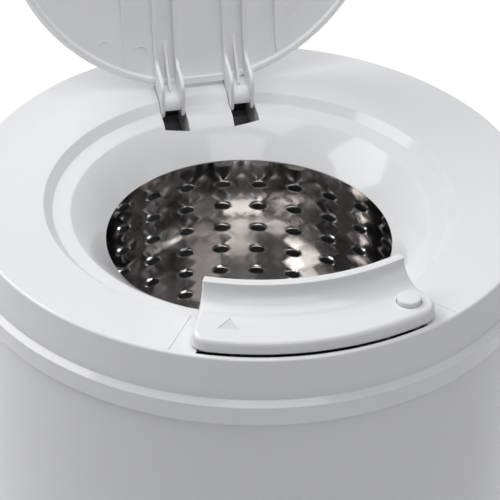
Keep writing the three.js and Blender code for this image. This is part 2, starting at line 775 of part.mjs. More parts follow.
// The pressed floor, with its raised crown round the shaft.
function drumFloor() {
  const edge = drumInnerR - gap;
  const crown = drumZ + drumFloorCrownRise;
  const line = [[edge, drumZ], [drumFloorCrownR + 14, drumZ], [drumFloorCrownR, crown - 3],
    [shaftR + gap, crown - drumWall]];
  const raised = line.slice(1).reverse().map(([radius, height]) =>
    [Math.max(radius - 0.8, shaftR + gap), height + drumWall]);
  return revolve([...line, ...raised, [edge, drumZ + drumWall]], holeColumns);
}

const drumHub = () => revolve([[shaftR + gap, hubZ], [hubR, hubZ], [hubR + 2, drumZ - 6],
  [hubFlangeR, drumZ - 4], [hubFlangeR, drumZ - gap], [shaftR + gap, drumZ - gap]]);

const hubNut = () => cut(disc(shaftR + 6, nutZ, nutZ + nutHeight, 6),
  disc(shaftR + gap, nutZ - 1, nutZ + nutHeight + 1));

// ------------------------------------------------------------------ shaft, motor and brake

const shaftBottomZ = brakeDrumZ - 2;
const motorShaft = () => revolve([[0, shaftBottomZ], [shaftR - 1, shaftBottomZ],
  [shaftR, shaftBottomZ + 1], [shaftR, nutZ + nutHeight + 2],
  [shaftR - 1.5, nutZ + nutHeight + 4], [0, nutZ + nutHeight + 4]]);

const rotor = () => tube(shaftR + gap, rotorR, statorZ, statorTopZ);
const stator = () => tube(rotorR + 0.8, statorR, statorZ, statorTopZ);

const windingRing = (bottom) => revolve([[rotorR + 3, bottom], [statorR - 8, bottom],
  [statorR - 8, bottom + windingHeight - 4], [statorR - 12, bottom + windingHeight - gap],
  [rotorR + 3, bottom + windingHeight - gap]]);

const bearing = (bottom) => tube(shaftR + gap, bearingR, bottom, bottom + bearingWidth);

// A cast shield: a cup over the winding with a seat for the bearing and a neck round the shaft.
function upperEndShield() {
  const rimR = statorR + 2;
  const roof = statorTopZ + windingHeight + gap;
  const seatR = bearingR + gap;
  const neckTop = upperBearingZ + bearingWidth + neckRise;
  return revolve([
    [statorR - 3, statorTopZ + gap], [rimR, statorTopZ + gap], [rimR, roof + 1],
    [rimR - 4, roof + shieldWall + 1], [seatR + 6, upperBearingZ + 2],
    [seatR + 5, upperBearingZ + bearingWidth + 3], [seatR + 3, neckTop],
    [shaftR + 2, neckTop], [shaftR + 2, upperBearingZ + bearingWidth + gap],
    [seatR, upperBearingZ + bearingWidth + gap], [seatR, roof], [statorR - 3, roof],
  ]);
}

// Its flange rests on the carrier, and its cup reaches down through the carrier's hole.
const shieldFlangeZ = carrierZ + carrierWall + gap;
function lowerEndShield() {
  const seatR = bearingR + gap;
  const rimR = statorR - 1.5;
  const bottom = lowerBearingZ - gap - shieldWall;
  const shelf = shieldFlangeZ + shieldWall;
  return revolve([
    [statorR + 14, shieldFlangeZ], [statorR + 14, shelf], [statorR + 3, shelf],
    [statorR + 3, statorZ - gap], [rimR - shieldWall, statorZ - gap],
    [rimR - shieldWall, bottom + 14], [seatR + 4, bottom + 9],
    [seatR + 4, lowerBearingZ + bearingWidth], [seatR, lowerBearingZ + bearingWidth],
    [seatR, lowerBearingZ - gap], [shaftR + 2, lowerBearingZ - gap], [shaftR + 2, bottom],
    [seatR + 5, bottom], [rimR, bottom + 9], [rimR, shieldFlangeZ],
  ]);
}

const mountAngles = [0, 120, 240];

// A pressed three-cornered plate with a round lobe over each rubber mount.
function motorCarrier() {
  const shape = new THREE.Shape();
  mountAngles.forEach((angle, i) => {
    const [x, y] = polar(mountCircleR, angle);
    const from = THREE.MathUtils.degToRad(angle - 90 - 62);
    const to = THREE.MathUtils.degToRad(angle - 90 + 62);
    if (i === 0) shape.moveTo(x + 24 * Math.cos(from), y + 24 * Math.sin(from));
    shape.absarc(x, y, 24, from, to, false);
  });
  const hole = disc(statorR, carrierZ - 1, carrierZ + carrierWall + 1);
  let plate = cut(slab(shape, carrierZ, carrierZ + carrierWall, 3), hole);
  for (const angle of mountAngles) {
    const [x, y] = polar(mountCircleR, angle);
    plate = cut(plate, disc(4 + gap, carrierZ - 1, carrierZ + carrierWall + 1, studSides, x, y));
  }
  return plate;
}

const mountTopZ = carrierZ - gap;
const mountZ = mountTopZ - mountHeight;

// A waisted rubber buffer with a stud above and below.
function motorMount(angle) {
  const [x, y] = polar(mountCircleR, angle);
  return revolve([[0, mountZ - 8], [4, mountZ - 8], [4, mountZ], [mountR, mountZ],
    [mountR - 4, mountZ + mountHeight / 2], [mountR, mountTopZ], [4, mountTopZ],
    [4, carrierZ + carrierWall + 7], [0, carrierZ + carrierWall + 7]], studSides, x, y);
}

// A folded bracket on the casing's inside that a mount or the tub stands on.
function wallBracket(angle, topZ, reachR, width, boreR) {
  const wallR = (casingR - casingWall) * Math.cos(Math.PI / shellSides) - gap;
  const outerR = Math.sqrt(wallR ** 2 - (width / 2) ** 2);
  const wall = bracketWall;
  const bottom = topZ - bracketHeight;
  const shelf = block(-width / 2, width / 2, -outerR, -reachR, topZ - wall, topZ);
  const back = block(-width / 2, width / 2, -outerR, wall - outerR, bottom, topZ);
  const web = sidePlate(shapeOf([[wall / 2 - outerR, topZ - wall / 2],
    [wall / 2 - outerR, bottom + wall], [-reachR - 2 * wall, topZ - wall / 2]]),
  -wall / 2, wall / 2);
  let bracket = join(shelf, back, web);
  if (boreR > 0) {
    bracket = cut(bracket, disc(boreR, topZ - 12, topZ + 1, studSides, 0, -mountCircleR));
  }
  return turned(bracket, angle);
}

// Fan under the motor: a hub, a carrying disc and straight blades.
function coolingFan() {
  let fan = revolve([[shaftR + gap, fanZ], [hubR, fanZ], [hubR, fanZ + fanHeight - 2],
    [fanR - 6, fanZ + fanHeight - 2], [fanR - 6, fanZ + fanHeight],
    [shaftR + gap, fanZ + fanHeight]], 2 * fanBlades);
  for (let i = 0; i < fanBlades; i += 1) {
    const blade = block(-1, 1, -fanR, -hubR + 0.6, fanZ, fanZ + fanHeight - 1);
    fan = join(fan, turned(blade, (360 * i) / fanBlades));
  }
  return fan;
}

const brakeDrum = () => revolve([[shaftR + gap, brakeDrumZ], [brakeDrumR, brakeDrumZ],
  [brakeDrumR, brakeDrumZ + brakeDrumHeight],
  [brakeDrumR - 4, brakeDrumZ + brakeDrumHeight], [brakeDrumR - 4, brakeDrumZ + 4],
  [shaftR + 5, brakeDrumZ + 4], [shaftR + 5, brakeDrumZ + brakeDrumHeight],
  [shaftR + gap, brakeDrumZ + brakeDrumHeight]]);

const armPivot = [brakePivotX, -statorR - brakeArmReach];
const armEnd = [brakeEndX, -statorR - brakeArmReach];
const liningHalfAngle = 0.36; // radians round the drum's axis, from the front
const armZ = brakeDrumZ + brakeDrumHeight / 2 - brakeArmWall / 2;
const liningInnerR = brakeDrumR + 0.6;

// A curved strip of friction material in front of the brake drum.
function brakeLining() {
  const shape = new THREE.Shape();
  const from = -Math.PI / 2 - liningHalfAngle;
  const to = -Math.PI / 2 + liningHalfAngle;
  shape.absarc(0, 0, liningInnerR, from, to, false);
  shape.absarc(0, 0, liningInnerR + 4, to, from, true);
  return slab(shape, brakeDrumZ + 1, brakeDrumZ + brakeDrumHeight - 1, 4);
}

// A flat lever with the lining's seat in its middle and the cable's end at its left.
function brakeArm() {
  const seatR = liningInnerR + 4 + gap;
  const [px, py] = armPivot;
  const [ex, ey] = armEnd;
  const shape = new THREE.Shape();
  shape.moveTo(ex - 4, ey + 5);
  shape.lineTo(ex - 4, ey - 5);
  shape.lineTo(px, py - 7);
  shape.absarc(px, py, 7, -Math.PI / 2, Math.PI / 2, false);
  shape.absarc(0, 0, seatR, liningHalfAngle - Math.PI / 2, -liningHalfAngle - Math.PI / 2, true);
  shape.lineTo(-seatR * 0.45, py + 7);
  const plate = slab(shape, armZ, armZ + brakeArmWall);
  return cut(plate, disc(3 + gap, armZ - 1, armZ + brakeArmWall + 1, studSides, px, py));
}

// The pivot pin, and the strap that holds it under the carrier.
function brakeBracket() {
  const [px, py] = armPivot;
  const top = carrierZ - gap;
  const pin = disc(3, armZ - 3, top - 6, studSides, px, py);
  const strap = block(px - 7, px + 7, py - 7, py + 7, top - 8, top);
  return join(pin, strap);
}

// ------------------------------------------------------------------ tub and drain

const tubTopZ = legBottomZ - tubTopRoom;
const tubSides = 24;

function innerTub() {
  const collarTop = tubZ + tubCollarHeight;
  const shell = revolve([
    [tubCollarR - tubWall, tubZ], [tubR - 4, tubZ], [tubR, tubZ + 4],
    [tubR, tubTopZ - tubFlangeWall], [tubR + tubFlangeWidth, tubTopZ - tubFlangeWall],
    [tubR + tubFlangeWidth, tubTopZ], [tubR - tubWall, tubTopZ],
    [tubR - tubWall, tubFloorZ], [tubCollarR, tubFloorZ], [tubCollarR, collarTop],
    [tubCollarR - tubWall, collarTop],
  ], tubSides);
  const stubZ = tubZ - drainStubLength;
  const stub = disc(drainR, stubZ, tubZ + 1, studSides, 0, drainY);
  const bore = disc(drainBoreR, stubZ - 1, tubFloorZ + 1, studSides, 0, drainY);
  return cut(join(shell, stub), bore);
}

// Rubber bellows from the motor's neck to the tub's collar.
function shaftBellows() {
  const neckR = bearingR + gap + 5 + 1.2;
  const collarR = tubCollarR - tubWall - gap;
  const start = upperBearingZ + bearingWidth + 6;
  const end = tubZ + tubCollarHeight - 2;
  const wall = 1.4;
  const folds = 3;
  const line = [[neckR, start], [neckR, start + 4]];
  const foldHeight = (end - 5 - start - 4) / folds;
  for (let i = 0; i < folds; i += 1) {
    const lean = neckR + ((collarR - wall - neckR) * i) / folds;
    line.push([Math.min(lean + 6.5, collarR - wall), start + 4 + foldHeight * (i + 0.5)]);
    line.push([lean + 2, start + 4 + foldHeight * (i + 1)]);
  }
  line.push([collarR - wall, end - 4], [collarR - wall, end]);
  const outside = line.map(([radius, height]) => [radius + wall, height]).reverse();
  return revolve([...line, ...outside], studSides);
}

const spoutInnerY = drainY - 16;
const spoutTipY = -casingR - spoutReach;

// The elbow of rubber hose from the tub's outlet to the spout.
function drainHose() {
  const bore = drainR + 1.2;
  const top = tubZ - 6;
  const points = [[0, drainY, top], [0, drainY, spoutZ + 2 * hoseBend],
    [0, drainY, spoutZ + hoseBend], [0, drainY - 0.29 * hoseBend, spoutZ + 0.29 * hoseBend],
    [0, drainY - hoseBend, spoutZ], [0, drainY - 1.5 * hoseBend, spoutZ]];
  return pipe(points, bore + hoseWall, bore, 4, 8);
}

function waterSpout() {
  const start = drainY - 20 - 3;
  const flangeY = -casingR - gap;
  const body = join(barY(drainR, spoutTipY, start, 0, spoutZ, studSides),
    barY(drainR + 9, flangeY - 3, flangeY, 0, spoutZ));
  return cut(body, barY(drainBoreR, spoutTipY - 1, start + 1, 0, spoutZ, studSides));
}

// ------------------------------------------------------------------ casing and base

const screwAngles = [60, 180, 300];
const screwZ = casingZ + 9;

const radialHole = (radius, angle, z) =>
  turned(barY(radius, -casingR - 12, -casingR + 12, 0, z, 8), angle);

function outerCasing() {
  const inner = casingR - casingWall;
  let casing = tube(inner, casingR, casingZ, casingTopZ, shellSides);
  casing = cut(casing, barY(drainR + 0.8, -casingR - 5, -casingR + 8, 0, spoutZ, studSides));
  const inletHole = barY(inletR + gap, -casingR - 5, -casingR + 8, 0, inletZ, studSides);
  casing = cut(casing, turned(inletHole, inletAngle));
  for (const angle of screwAngles) {
    casing = cut(casing, radialHole(baseScrewR + gap, angle, screwZ));
  }
  return casing;
}

function basePan() {
  const rimR = casingR + 0.5 + baseRimWall;
  const rimTop = footHeight + baseRimHeight;
  const floorZ = baseZ + baseWall;
  const seat = casingR - 4;
  let pan = revolve([
    [0, baseZ], [footCircleR + footR + 8, baseZ], [rimR, footHeight], [rimR, rimTop],
    [casingR + 0.5, rimTop], [casingR + 0.5, casingZ - gap], [seat, casingZ - gap],
    [seat, floorZ], [0, floorZ],
  ], shellSides);
  for (const angle of footAngles) {
    const [x, y] = polar(footCircleR, angle);
    pan = cut(pan, disc(5 + gap, baseZ - 1, floorZ + 1, studSides, x, y));
  }
  for (const angle of screwAngles) {
    pan = cut(pan, radialHole(baseScrewR + gap, angle, screwZ));
  }
  return pan;
}

const footAngles = [180, 300, 60];

// A rubber foot with a stud pushed up through the base.
function foot(angle) {
  const [x, y] = polar(footCircleR, angle);
  return revolve([[0, 0], [footR, 0], [footR + 1, 3], [footR - 3, baseZ - gap],
    [5, baseZ - gap], [5, baseZ + baseWall + 6], [0, baseZ + baseWall + 6]], studSides, x, y);
}

function baseScrew(angle) {
  const outer = casingR + 0.5 + baseRimWall + gap;
  const shank = barY(baseScrewR, -outer - 1, -casingR + 6, 0, screwZ, 6);
  const head = barY(baseScrewR + 2, -outer - 2, -outer, 0, screwZ, 6);
  return turned(join(shank, head), angle);
}

// ------------------------------------------------------------------ electrical pieces

const capacitorAt = polar(casingR - capacitorInset, capacitorAngle);
const panFloorZ = baseZ + baseWall + gap;

const runCapacitor = () => revolve([[0, panFloorZ + 2], [capacitorR, panFloorZ + 2],
  [capacitorR, panFloorZ + capacitorHeight], [4, panFloorZ + capacitorHeight + 2],
  [4, panFloorZ + capacitorHeight + 8], [0, panFloorZ + capacitorHeight + 8]],
roundSides, ...capacitorAt);

const capacitorCup = () => revolve([[0, panFloorZ], [capacitorR + 7, panFloorZ],
  [capacitorR + 7, panFloorZ + 1.7], [capacitorR + 2, panFloorZ + 1.7],
  [capacitorR + 2, panFloorZ + 20], [capacitorR + gap, panFloorZ + 20],
  [capacitorR + gap, panFloorZ + 1.7], [0, panFloorZ + 1.7]], roundSides, ...capacitorAt);

function terminalBlock() {
  const [x, y] = polar(casingR - terminalInset, terminalAngle);
  const top = panFloorZ + terminalHeight;
  let housing = block(x - terminalLength / 2, x + terminalLength / 2,
    y - terminalWidth / 2, y + terminalWidth / 2, panFloorZ, top);
  for (const side of [-1, 0, 1]) {
    const well = disc(3, top - 7, top + 1, 6, x + (side * terminalLength) / 3, y);
    housing = cut(housing, well);
  }
  return housing;
}

// The mains inlet: a flanged bush in the casing's back, ready for a cord.
function mainsInlet() {
  const flangeY = -casingR - gap;
  const body = join(barY(inletR, flangeY - 1, -casingR + 12, 0, inletZ, studSides),
    barY(inletR + 4, flangeY - 4, flangeY, 0, inletZ, studSides),
    barY(inletR + 3, -casingR + casingWall + 5, -casingR + 9, 0, inletZ, 6));
  const bore = barY(inletBoreR, flangeY - 5, -casingR + 13, 0, inletZ, 8);
  return turned(cut(body, bore), inletAngle);
}

// The brake cable's sheath, from the slide plate's eye down the casing's wall to the brake arm.
function brakeCable() {
  const [x, y] = [cableX, cableY];
  const top = plateTopZ - 6;
  const [ex, ey] = armEnd;
  const armMiddleZ = armZ + brakeArmWall / 2;
  return pipe([
    [x, plateFrontY - 1.5, top], [x, y + 1.5, top - 2], [x, y, top - 8], [x, y, top - 2 * cableBend],
    [x, y, (top + carrierZ) / 2], [x, y, carrierZ + 3 * cableBend],
    [x, y, carrierZ + 2 * cableBend], [x, y, carrierZ + cableBend],
    [x - 4, y + 4, carrierZ - cableBend / 2],
    [ex + 4, ey - 3 * cableBend, armMiddleZ + 0.6 * cableBend],
    [ex, ey - 1.7 * cableBend, armMiddleZ], [ex, ey - 1.2 * cableBend, armMiddleZ],
  ], cableR, 0, 3, 20);
}

// ------------------------------------------------------------------ the assembly

const finishes = {
  cover: { color: 0xe9eaec, roughness: 0.28, metalness: 0 },
  paint: { color: 0xdcdde0, roughness: 0.35, metalness: 0 },
  lid: { color: 0xe2e3e5, roughness: 0.42, metalness: 0 },
  stainless: { color: 0xb9b6b2, roughness: 0.16, metalness: 1 },
  steel: { color: 0x8d9095, roughness: 0.4, metalness: 1 },
  cast: { color: 0x9fa2a6, roughness: 0.55, metalness: 0.9 },
  copper: { color: 0xb0643a, roughness: 0.45, metalness: 0.8 },
  rubber: { color: 0x1d1d1f, roughness: 0.8, metalness: 0 },
  tub: { color: 0xcfd3d6, roughness: 0.5, metalness: 0 },
  black: { color: 0x2a2b2e, roughness: 0.5, metalness: 0 },
  lining: { color: 0x5b4a3c, roughness: 0.9, metalness: 0 },
};

const dryer = new THREE.Group();

function add(name, shape, finish, parent = dryer) {
  const mesh = new THREE.Mesh(geometryOf(shape),
    new THREE.MeshStandardMaterial(finishes[finish]));
  mesh.name = name;
  parent.add(mesh);
  return mesh;
}

add('top_cover', topCover(), 'cover');
add('hinge_pin_left', hingePin(-armX), 'steel');
add('hinge_pin_right', hingePin(armX), 'steel');

const openLid = new THREE.Group();
openLid.position.set(0, hingeY, hingeZ);
openLid.rotation.x = -THREE.MathUtils.degToRad(lidOpenAngle);
dryer.add(openLid);
add('lid', lid(), 'lid', openLid);

add('lock_lever', lockLever(), 'cover');
add('release_button', releaseButton(), 'cover');
add('button_spring', buttonSpring(), 'steel');
add('button_retainer', buttonRetainer(), 'black');
add('slide_plate', slidePlate(), 'steel');
add('interlock_switch', interlockSwitch(), 'black');
add('switch_bracket', switchBracket(), 'steel');
add('brake_cable', brakeCable(), 'black');

add('outer_casing', outerCasing(), 'paint');
add('base_pan', basePan(), 'black');
['rear', 'left', 'right'].forEach((side, i) => {
  add(`foot_${side}`, foot(footAngles[i]), 'rubber');
});
screwAngles.forEach((angle, i) => {
  add(`base_screw_${i + 1}`, baseScrew(angle), 'steel');
});

add('drum_mantle', drumMantle(), 'stainless');
add('drum_rim', drumRim(), 'stainless');
add('drum_floor', drumFloor(), 'stainless');
add('drum_hub', drumHub(), 'cast');
add('hub_nut', hubNut(), 'steel');

add('inner_tub', innerTub(), 'tub');
[0, 120, 240].forEach((angle, i) => {
  const bracket = wallBracket(angle + 60, tubZ - gap, tubR - tubBracketReach,
    tubBracketWidth, 0);
  add(`tub_bracket_${i + 1}`, bracket, 'steel');
});
add('shaft_bellows', shaftBellows(), 'rubber');
add('drain_hose', drainHose(), 'rubber');
add('water_spout', waterSpout(), 'cover');

add('motor_shaft', motorShaft(), 'steel');
add('rotor', rotor(), 'cast');
add('stator', stator(), 'cast');
add('winding_upper', windingRing(statorTopZ + gap), 'copper');
add('winding_lower', windingRing(statorZ - windingHeight), 'copper');
add('upper_end_shield', upperEndShield(), 'cast');
add('lower_end_shield', lowerEndShield(), 'cast');
add('upper_bearing', bearing(upperBearingZ), 'steel');
add('lower_bearing', bearing(lowerBearingZ), 'steel');
add('cooling_fan', coolingFan(), 'black');
add('brake_drum', brakeDrum(), 'cast');
add('brake_arm', brakeArm(), 'steel');
add('brake_lining', brakeLining(), 'lining');
add('brake_bracket', brakeBracket(), 'steel');
add('motor_carrier', motorCarrier(), 'steel');
mountAngles.forEach((angle, i) => {
  add(`motor_mount_${i + 1}`, motorMount(angle), 'rubber');
  const bracket = wallBracket(angle, mountZ - gap, mountCircleR - mountBracketLip,
    mountBracketWidth, 4 + gap);
  add(`mount_bracket_${i + 1}`, bracket, 'steel');
});

add('run_capacitor', runCapacitor(), 'cast');
add('capacitor_cup', capacitorCup(), 'black');
add('terminal_block', terminalBlock(), 'black');
add('mains_inlet', mainsInlet(), 'black');

export default dryer;
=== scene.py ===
import json
import math
from types import SimpleNamespace

import bpy
from bpy.props import FloatProperty, FloatVectorProperty, IntProperty, PointerProperty
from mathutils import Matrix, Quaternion, Vector


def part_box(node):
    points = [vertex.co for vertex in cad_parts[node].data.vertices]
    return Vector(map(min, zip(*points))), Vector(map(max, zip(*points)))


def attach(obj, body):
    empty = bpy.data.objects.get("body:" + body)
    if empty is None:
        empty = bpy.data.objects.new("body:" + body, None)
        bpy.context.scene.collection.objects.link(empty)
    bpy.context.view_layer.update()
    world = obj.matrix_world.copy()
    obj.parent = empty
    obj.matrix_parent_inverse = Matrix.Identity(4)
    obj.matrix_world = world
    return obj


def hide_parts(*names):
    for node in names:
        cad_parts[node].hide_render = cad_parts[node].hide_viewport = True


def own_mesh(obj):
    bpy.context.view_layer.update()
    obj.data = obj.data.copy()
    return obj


bl_info = {
    "name": "Laundry spin dryer",
    "version": (1, 0, 0),
    "blender": (4, 5, 0),
    "location": "View3D > Sidebar > Spin dryer",
    "description": "Smooth pieces, finishes and a studio for a round laundry spin dryer",
    "category": "Add Mesh",
}

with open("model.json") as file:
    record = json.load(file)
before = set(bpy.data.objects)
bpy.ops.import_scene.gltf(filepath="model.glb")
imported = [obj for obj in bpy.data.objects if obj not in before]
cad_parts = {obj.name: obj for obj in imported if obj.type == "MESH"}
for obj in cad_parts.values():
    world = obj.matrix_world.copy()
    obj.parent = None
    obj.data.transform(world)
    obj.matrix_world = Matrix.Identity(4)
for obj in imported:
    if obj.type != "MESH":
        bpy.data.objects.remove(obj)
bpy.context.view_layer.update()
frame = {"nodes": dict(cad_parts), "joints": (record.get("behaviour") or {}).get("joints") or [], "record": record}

# Outlines and the sizes here are in millimetres. Their heights start at the top edge of the
# step round the lid, and MM brings them to Blender's metres.
MM = 0.001
JOINTS = {joint["name"]: joint for joint in frame["joints"]}
HINGE = Vector(JOINTS["lid_hinge"]["pos_m"])
HINGE_DROP = 4.8
HINGE_YZ = (HINGE.y / MM, -HINGE_DROP)
STEP_Z = HINGE.z + HINGE_DROP * MM
LID_ANGLE = JOINTS["lid_hinge"]["range_deg"][1]
LEVER_TRAVEL = JOINTS["lever_slide"]["range_m"][1] / MM
BUTTON_TRAVEL = JOINTS["button_press"]["range_m"][1] / MM

FRONT = -90.0  # degrees round Z
ROUND = 240  # steps of a full spin, so that 1.5 degrees is one step
CASING_RADIUS = 166.6
CASING_SHEET = 1.2
DRUM_SHEET = 1.0
FIRST_ROW = 64.0  # the drum's first row of holes, below the step
LEVER_LEGS = (-45.0, 45.0)  # where the lever's two legs pass through the cover
LEG_HALF = 1.5
LEG_FRONT, LEG_BACK = -146.0, -139.0
LEG_GAP = 0.6  # round each leg, in its slot
SAME = 1e-7  # metres, under which two places are one


# ---- sizes and colours

def size(name, millimetres, description):
    return FloatProperty(name=name, description=description, default=millimetres * MM,
                         min=0.0, unit="LENGTH")


def colour(name, value, description):
    return FloatVectorProperty(name=name, description=description, default=value,
                               size=3, min=0.0, max=1.0, subtype="COLOR")


class CoverSizes(bpy.types.PropertyGroup):
    mouth_radius: size("Mouth radius", 84.9, "Radius of the funnel's inner lip")
    mouth_drop: size("Mouth drop", 26.0, "Depth of the funnel's inner lip below the step")
    funnel_radius: size("Funnel radius", 105.9, "Radius where the funnel meets the ledge")
    funnel_drop: size("Funnel drop", 6.6, "Depth of the funnel's top below the step")
    ledge_radius: size("Ledge radius", 116.4, "Outer radius of the ledge under the lid")
    ledge_drop: size("Ledge drop", 4.9, "Depth of the ledge below the step")
    step_radius: size("Step radius", 121.7, "Radius of the step's top edge")
    shoulder_radius: size("Shoulder radius", 167.6, "Radius of the rounded shoulder")
    shoulder_rise: size("Shoulder rise", 6.6, "Height of the shoulder over the step")
    band_radius: size("Band radius", 168.5, "Radius at the foot of the upright band")
    band_drop: size("Band drop", 20.2, "Depth of the band's foot below the step")
    bead_radius: size("Bead radius", 172.4, "Radius of the bead round the skirt")
    bead_drop: size("Bead drop", 23.3, "Depth of the bead below the step")
    skirt_drop: size("Skirt drop", 37.1, "Depth of the skirt's edge below the step")


class LidSizes(bpy.types.PropertyGroup):
    radius: size("Lid radius", 119.5, "Radius of the lid's rim")
    rim_rise: size("Rim rise", 0.4, "Height of the closed lid's rim over the step")
    dome: size("Dome", 6.0, "Rise of the lid's middle over its rim")
    wall: size("Wall", 2.4, "Thickness of the lid")
    rim_radius: size("Lower rim radius", 116.8, "Radius at the lower edge of the lid's rim")
    rim_drop: size("Rim drop", 3.2, "Depth of the rim's lower edge below the step")
    rear_edge: size("Rear edge", 115.7, "Distance of the straight rear edge from the axis")
    arm_place: size("Arm place", 21.7, "Distance of each hinge arm from the middle")


class LeverSizes(bpy.types.PropertyGroup):
    half_angle: FloatProperty(
        name="Half angle", description="Half of the angle that the lever spans",
        default=math.radians(25.0), min=0.1, max=1.0, subtype="ANGLE")
    lip_radius: size("Lip radius", 133.6, "Radius of the lip's inner face about its own centre")
    lip_rise: size("Lip rise", 28.3, "Height of the lip over the step's top edge")
    lip_wall: size("Lip wall", 5.2, "Thickness of the lip")
    cove_width: size("Cove width", 14.5, "Width of the cove between the lip and the top")
    top_rise: size("Top rise", 15.0, "Height of the lever's top over the step's top edge")
    front_radius: size("Front radius", 163.3, "Radius of the lever's front about the drum")
    corner: size("Corner", 11.0, "Rounding of the lever's front corners in plan")
    edge: size("Edge", 3.4, "Rounding of the lever's top edge")


class DrumSizes(bpy.types.PropertyGroup):
    radius: size("Drum radius", 117.2, "Outer radius of the perforated mantle")
    hole_width: size("Hole width", 9.1, "Width of one oval hole")
    hole_height: size("Hole height", 4.7, "Height of one oval hole")
    row_pitch: size("Row pitch", 16.3, "Distance from one row of holes to the next")
    columns: IntProperty(name="Columns", description="Holes in one row", default=32, min=8)
    rows: IntProperty(name="Rows", description="Rows of holes", default=12, min=1)


class DryerColours(bpy.types.PropertyGroup):
    cover: colour("Cover", (0.80, 0.805, 0.82), "Glossy moulded plastic of the cover")
    lid: colour("Lid", (0.925, 0.93, 0.94), "Satin moulded plastic of the lid")
    casing: colour("Casing", (0.745, 0.75, 0.765), "Paint of the casing")
    drum: colour("Drum", (0.86, 0.84, 0.83), "Stainless steel of the drum")
    floor: colour("Floor", (0.95, 0.95, 0.95), "Floor of the studio")


def own_values(group):
    return [item for item in group.bl_rna.properties
            if item.identifier not in ("rna_type", "name")]


def in_mm(group):
    """A group's sizes, its lengths in millimetres without the property's rounding error."""
    values = {}
    for item in own_values(group):
        value = getattr(group, item.identifier)
        values[item.identifier] = round(value / MM, 4) if item.unit == "LENGTH" else value
    return SimpleNamespace(**values)


# ---- outlines

def arc(centre, width, height, start, end, steps):
    """Points on an ellipse, from one angle in degrees to another."""
    angles = [math.radians(start + (end - start) * i / steps) for i in range(steps + 1)]
    return [(centre[0] + width * math.cos(angle), centre[1] + height * math.sin(angle))
            for angle in angles]


def bezier(p0, p1, p2, p3, steps):
    """Points on a Bezier curve, after its first point."""
    points = []
    for i in range(1, steps + 1):
        t = i / steps
        weights = ((1 - t) ** 3, 3 * t * (1 - t) ** 2, 3 * t * t * (1 - t), t ** 3)
        points.append(tuple(sum(w * p[k] for w, p in zip(weights, (p0, p1, p2, p3)))
                            for k in (0, 1)))
    return points


def polar(radius, degrees):
    """A point in plan, at an angle round the drum's axis from the front."""
    angle = math.radians(degrees)
    return (radius * math.sin(angle), -radius * math.cos(angle))


def section(inner, outer, low, high):
    """The four corners of a ring's section."""
    return [(inner, low), (outer, low), (outer, high), (inner, high)]


def upright(profile, degrees, base, centre):
    """[radius, height] points in the upright plane at an angle round Z."""
    angle = math.radians(degrees)
    return [Vector((centre[0] + radius * MM * math.cos(angle),
                    centre[1] + radius * MM * math.sin(angle), base + height * MM))
            for radius, height in profile]


# ---- modelling

def activate(piece):
    """Leaves edit mode and selects one piece, or none."""
    if bpy.context.object and bpy.context.object.mode != "OBJECT":
        bpy.ops.object.mode_set(mode="OBJECT")
    bpy.ops.object.select_all(action="DESELECT")
    if piece:
        piece.select_set(True)
        bpy.context.view_layer.objects.active = piece


def added(name):
    """Names the object just added and takes its place and scale into its mesh."""
    piece = bpy.context.active_object
    piece.name = piece.data.name = name
    bpy.ops.object.transform_apply(location=True, rotation=True, scale=True)
    return piece


def pick(piece, kind, test):
    """Selects what passes a test, in edit mode."""
    activate(piece)
    bpy.ops.object.mode_set(mode="EDIT")
    bpy.ops.mesh.select_mode(type=kind)
    bpy.ops.mesh.select_all(action="DESELECT")
    bpy.ops.object.mode_set(mode="OBJECT")
    mesh = piece.data
    items = {"VERT": mesh.vertices, "EDGE": mesh.edges, "FACE": mesh.polygons}[kind]
    for item in items:
        item.select = test(item)
    bpy.ops.object.mode_set(mode="EDIT")


def pick_all(piece):
    activate(piece)
    bpy.ops.object.mode_set(mode="EDIT")
    bpy.ops.mesh.select_mode(type="VERT")
    bpy.ops.mesh.select_all(action="SELECT")


def raise_edges(height):
    """Extrudes what is selected straight up."""
    bpy.ops.mesh.extrude_edges_move(TRANSFORM_OT_translate={"value": (0.0, 0.0, height)})


def close_up(piece):
    """Merges doubles and turns the faces outward."""
    pick_all(piece)
    bpy.ops.mesh.remove_doubles(threshold=0.005 * MM)
    bpy.ops.mesh.normals_make_consistent(inside=False)
    activate(piece)


def trace(name, points, closed=True, fillets=None):
    """A line of vertices, extruded from one point to the next, with rounded corners."""
    activate(None)
    bpy.ops.mesh.primitive_plane_add(size=MM, location=points[0])
    piece = added(name)
    pick_all(piece)
    bpy.ops.mesh.merge(type="CENTER")
    for start, end in zip(points, points[1:]):
        bpy.ops.mesh.extrude_vertices_move(TRANSFORM_OT_translate={"value": end - start})
    if closed:
        ends = (points[0], points[-1])
        pick(piece, "VERT", lambda v: any((v.co - end).length < SAME for end in ends))
        bpy.ops.mesh.edge_face_add()
    for index, radius in (fillets or {}).items():
        corner = points[index]
        before, after = points[index - 1] - corner, points[(index + 1) % len(points)] - corner
        pick(piece, "VERT", lambda v: (v.co - corner).length < SAME)
        bpy.ops.mesh.bevel(offset=radius * MM / math.tan(before.angle(after) / 2), segments=4,
                           affect="VERTICES", clamp_overlap=False)
    activate(piece)
    return piece


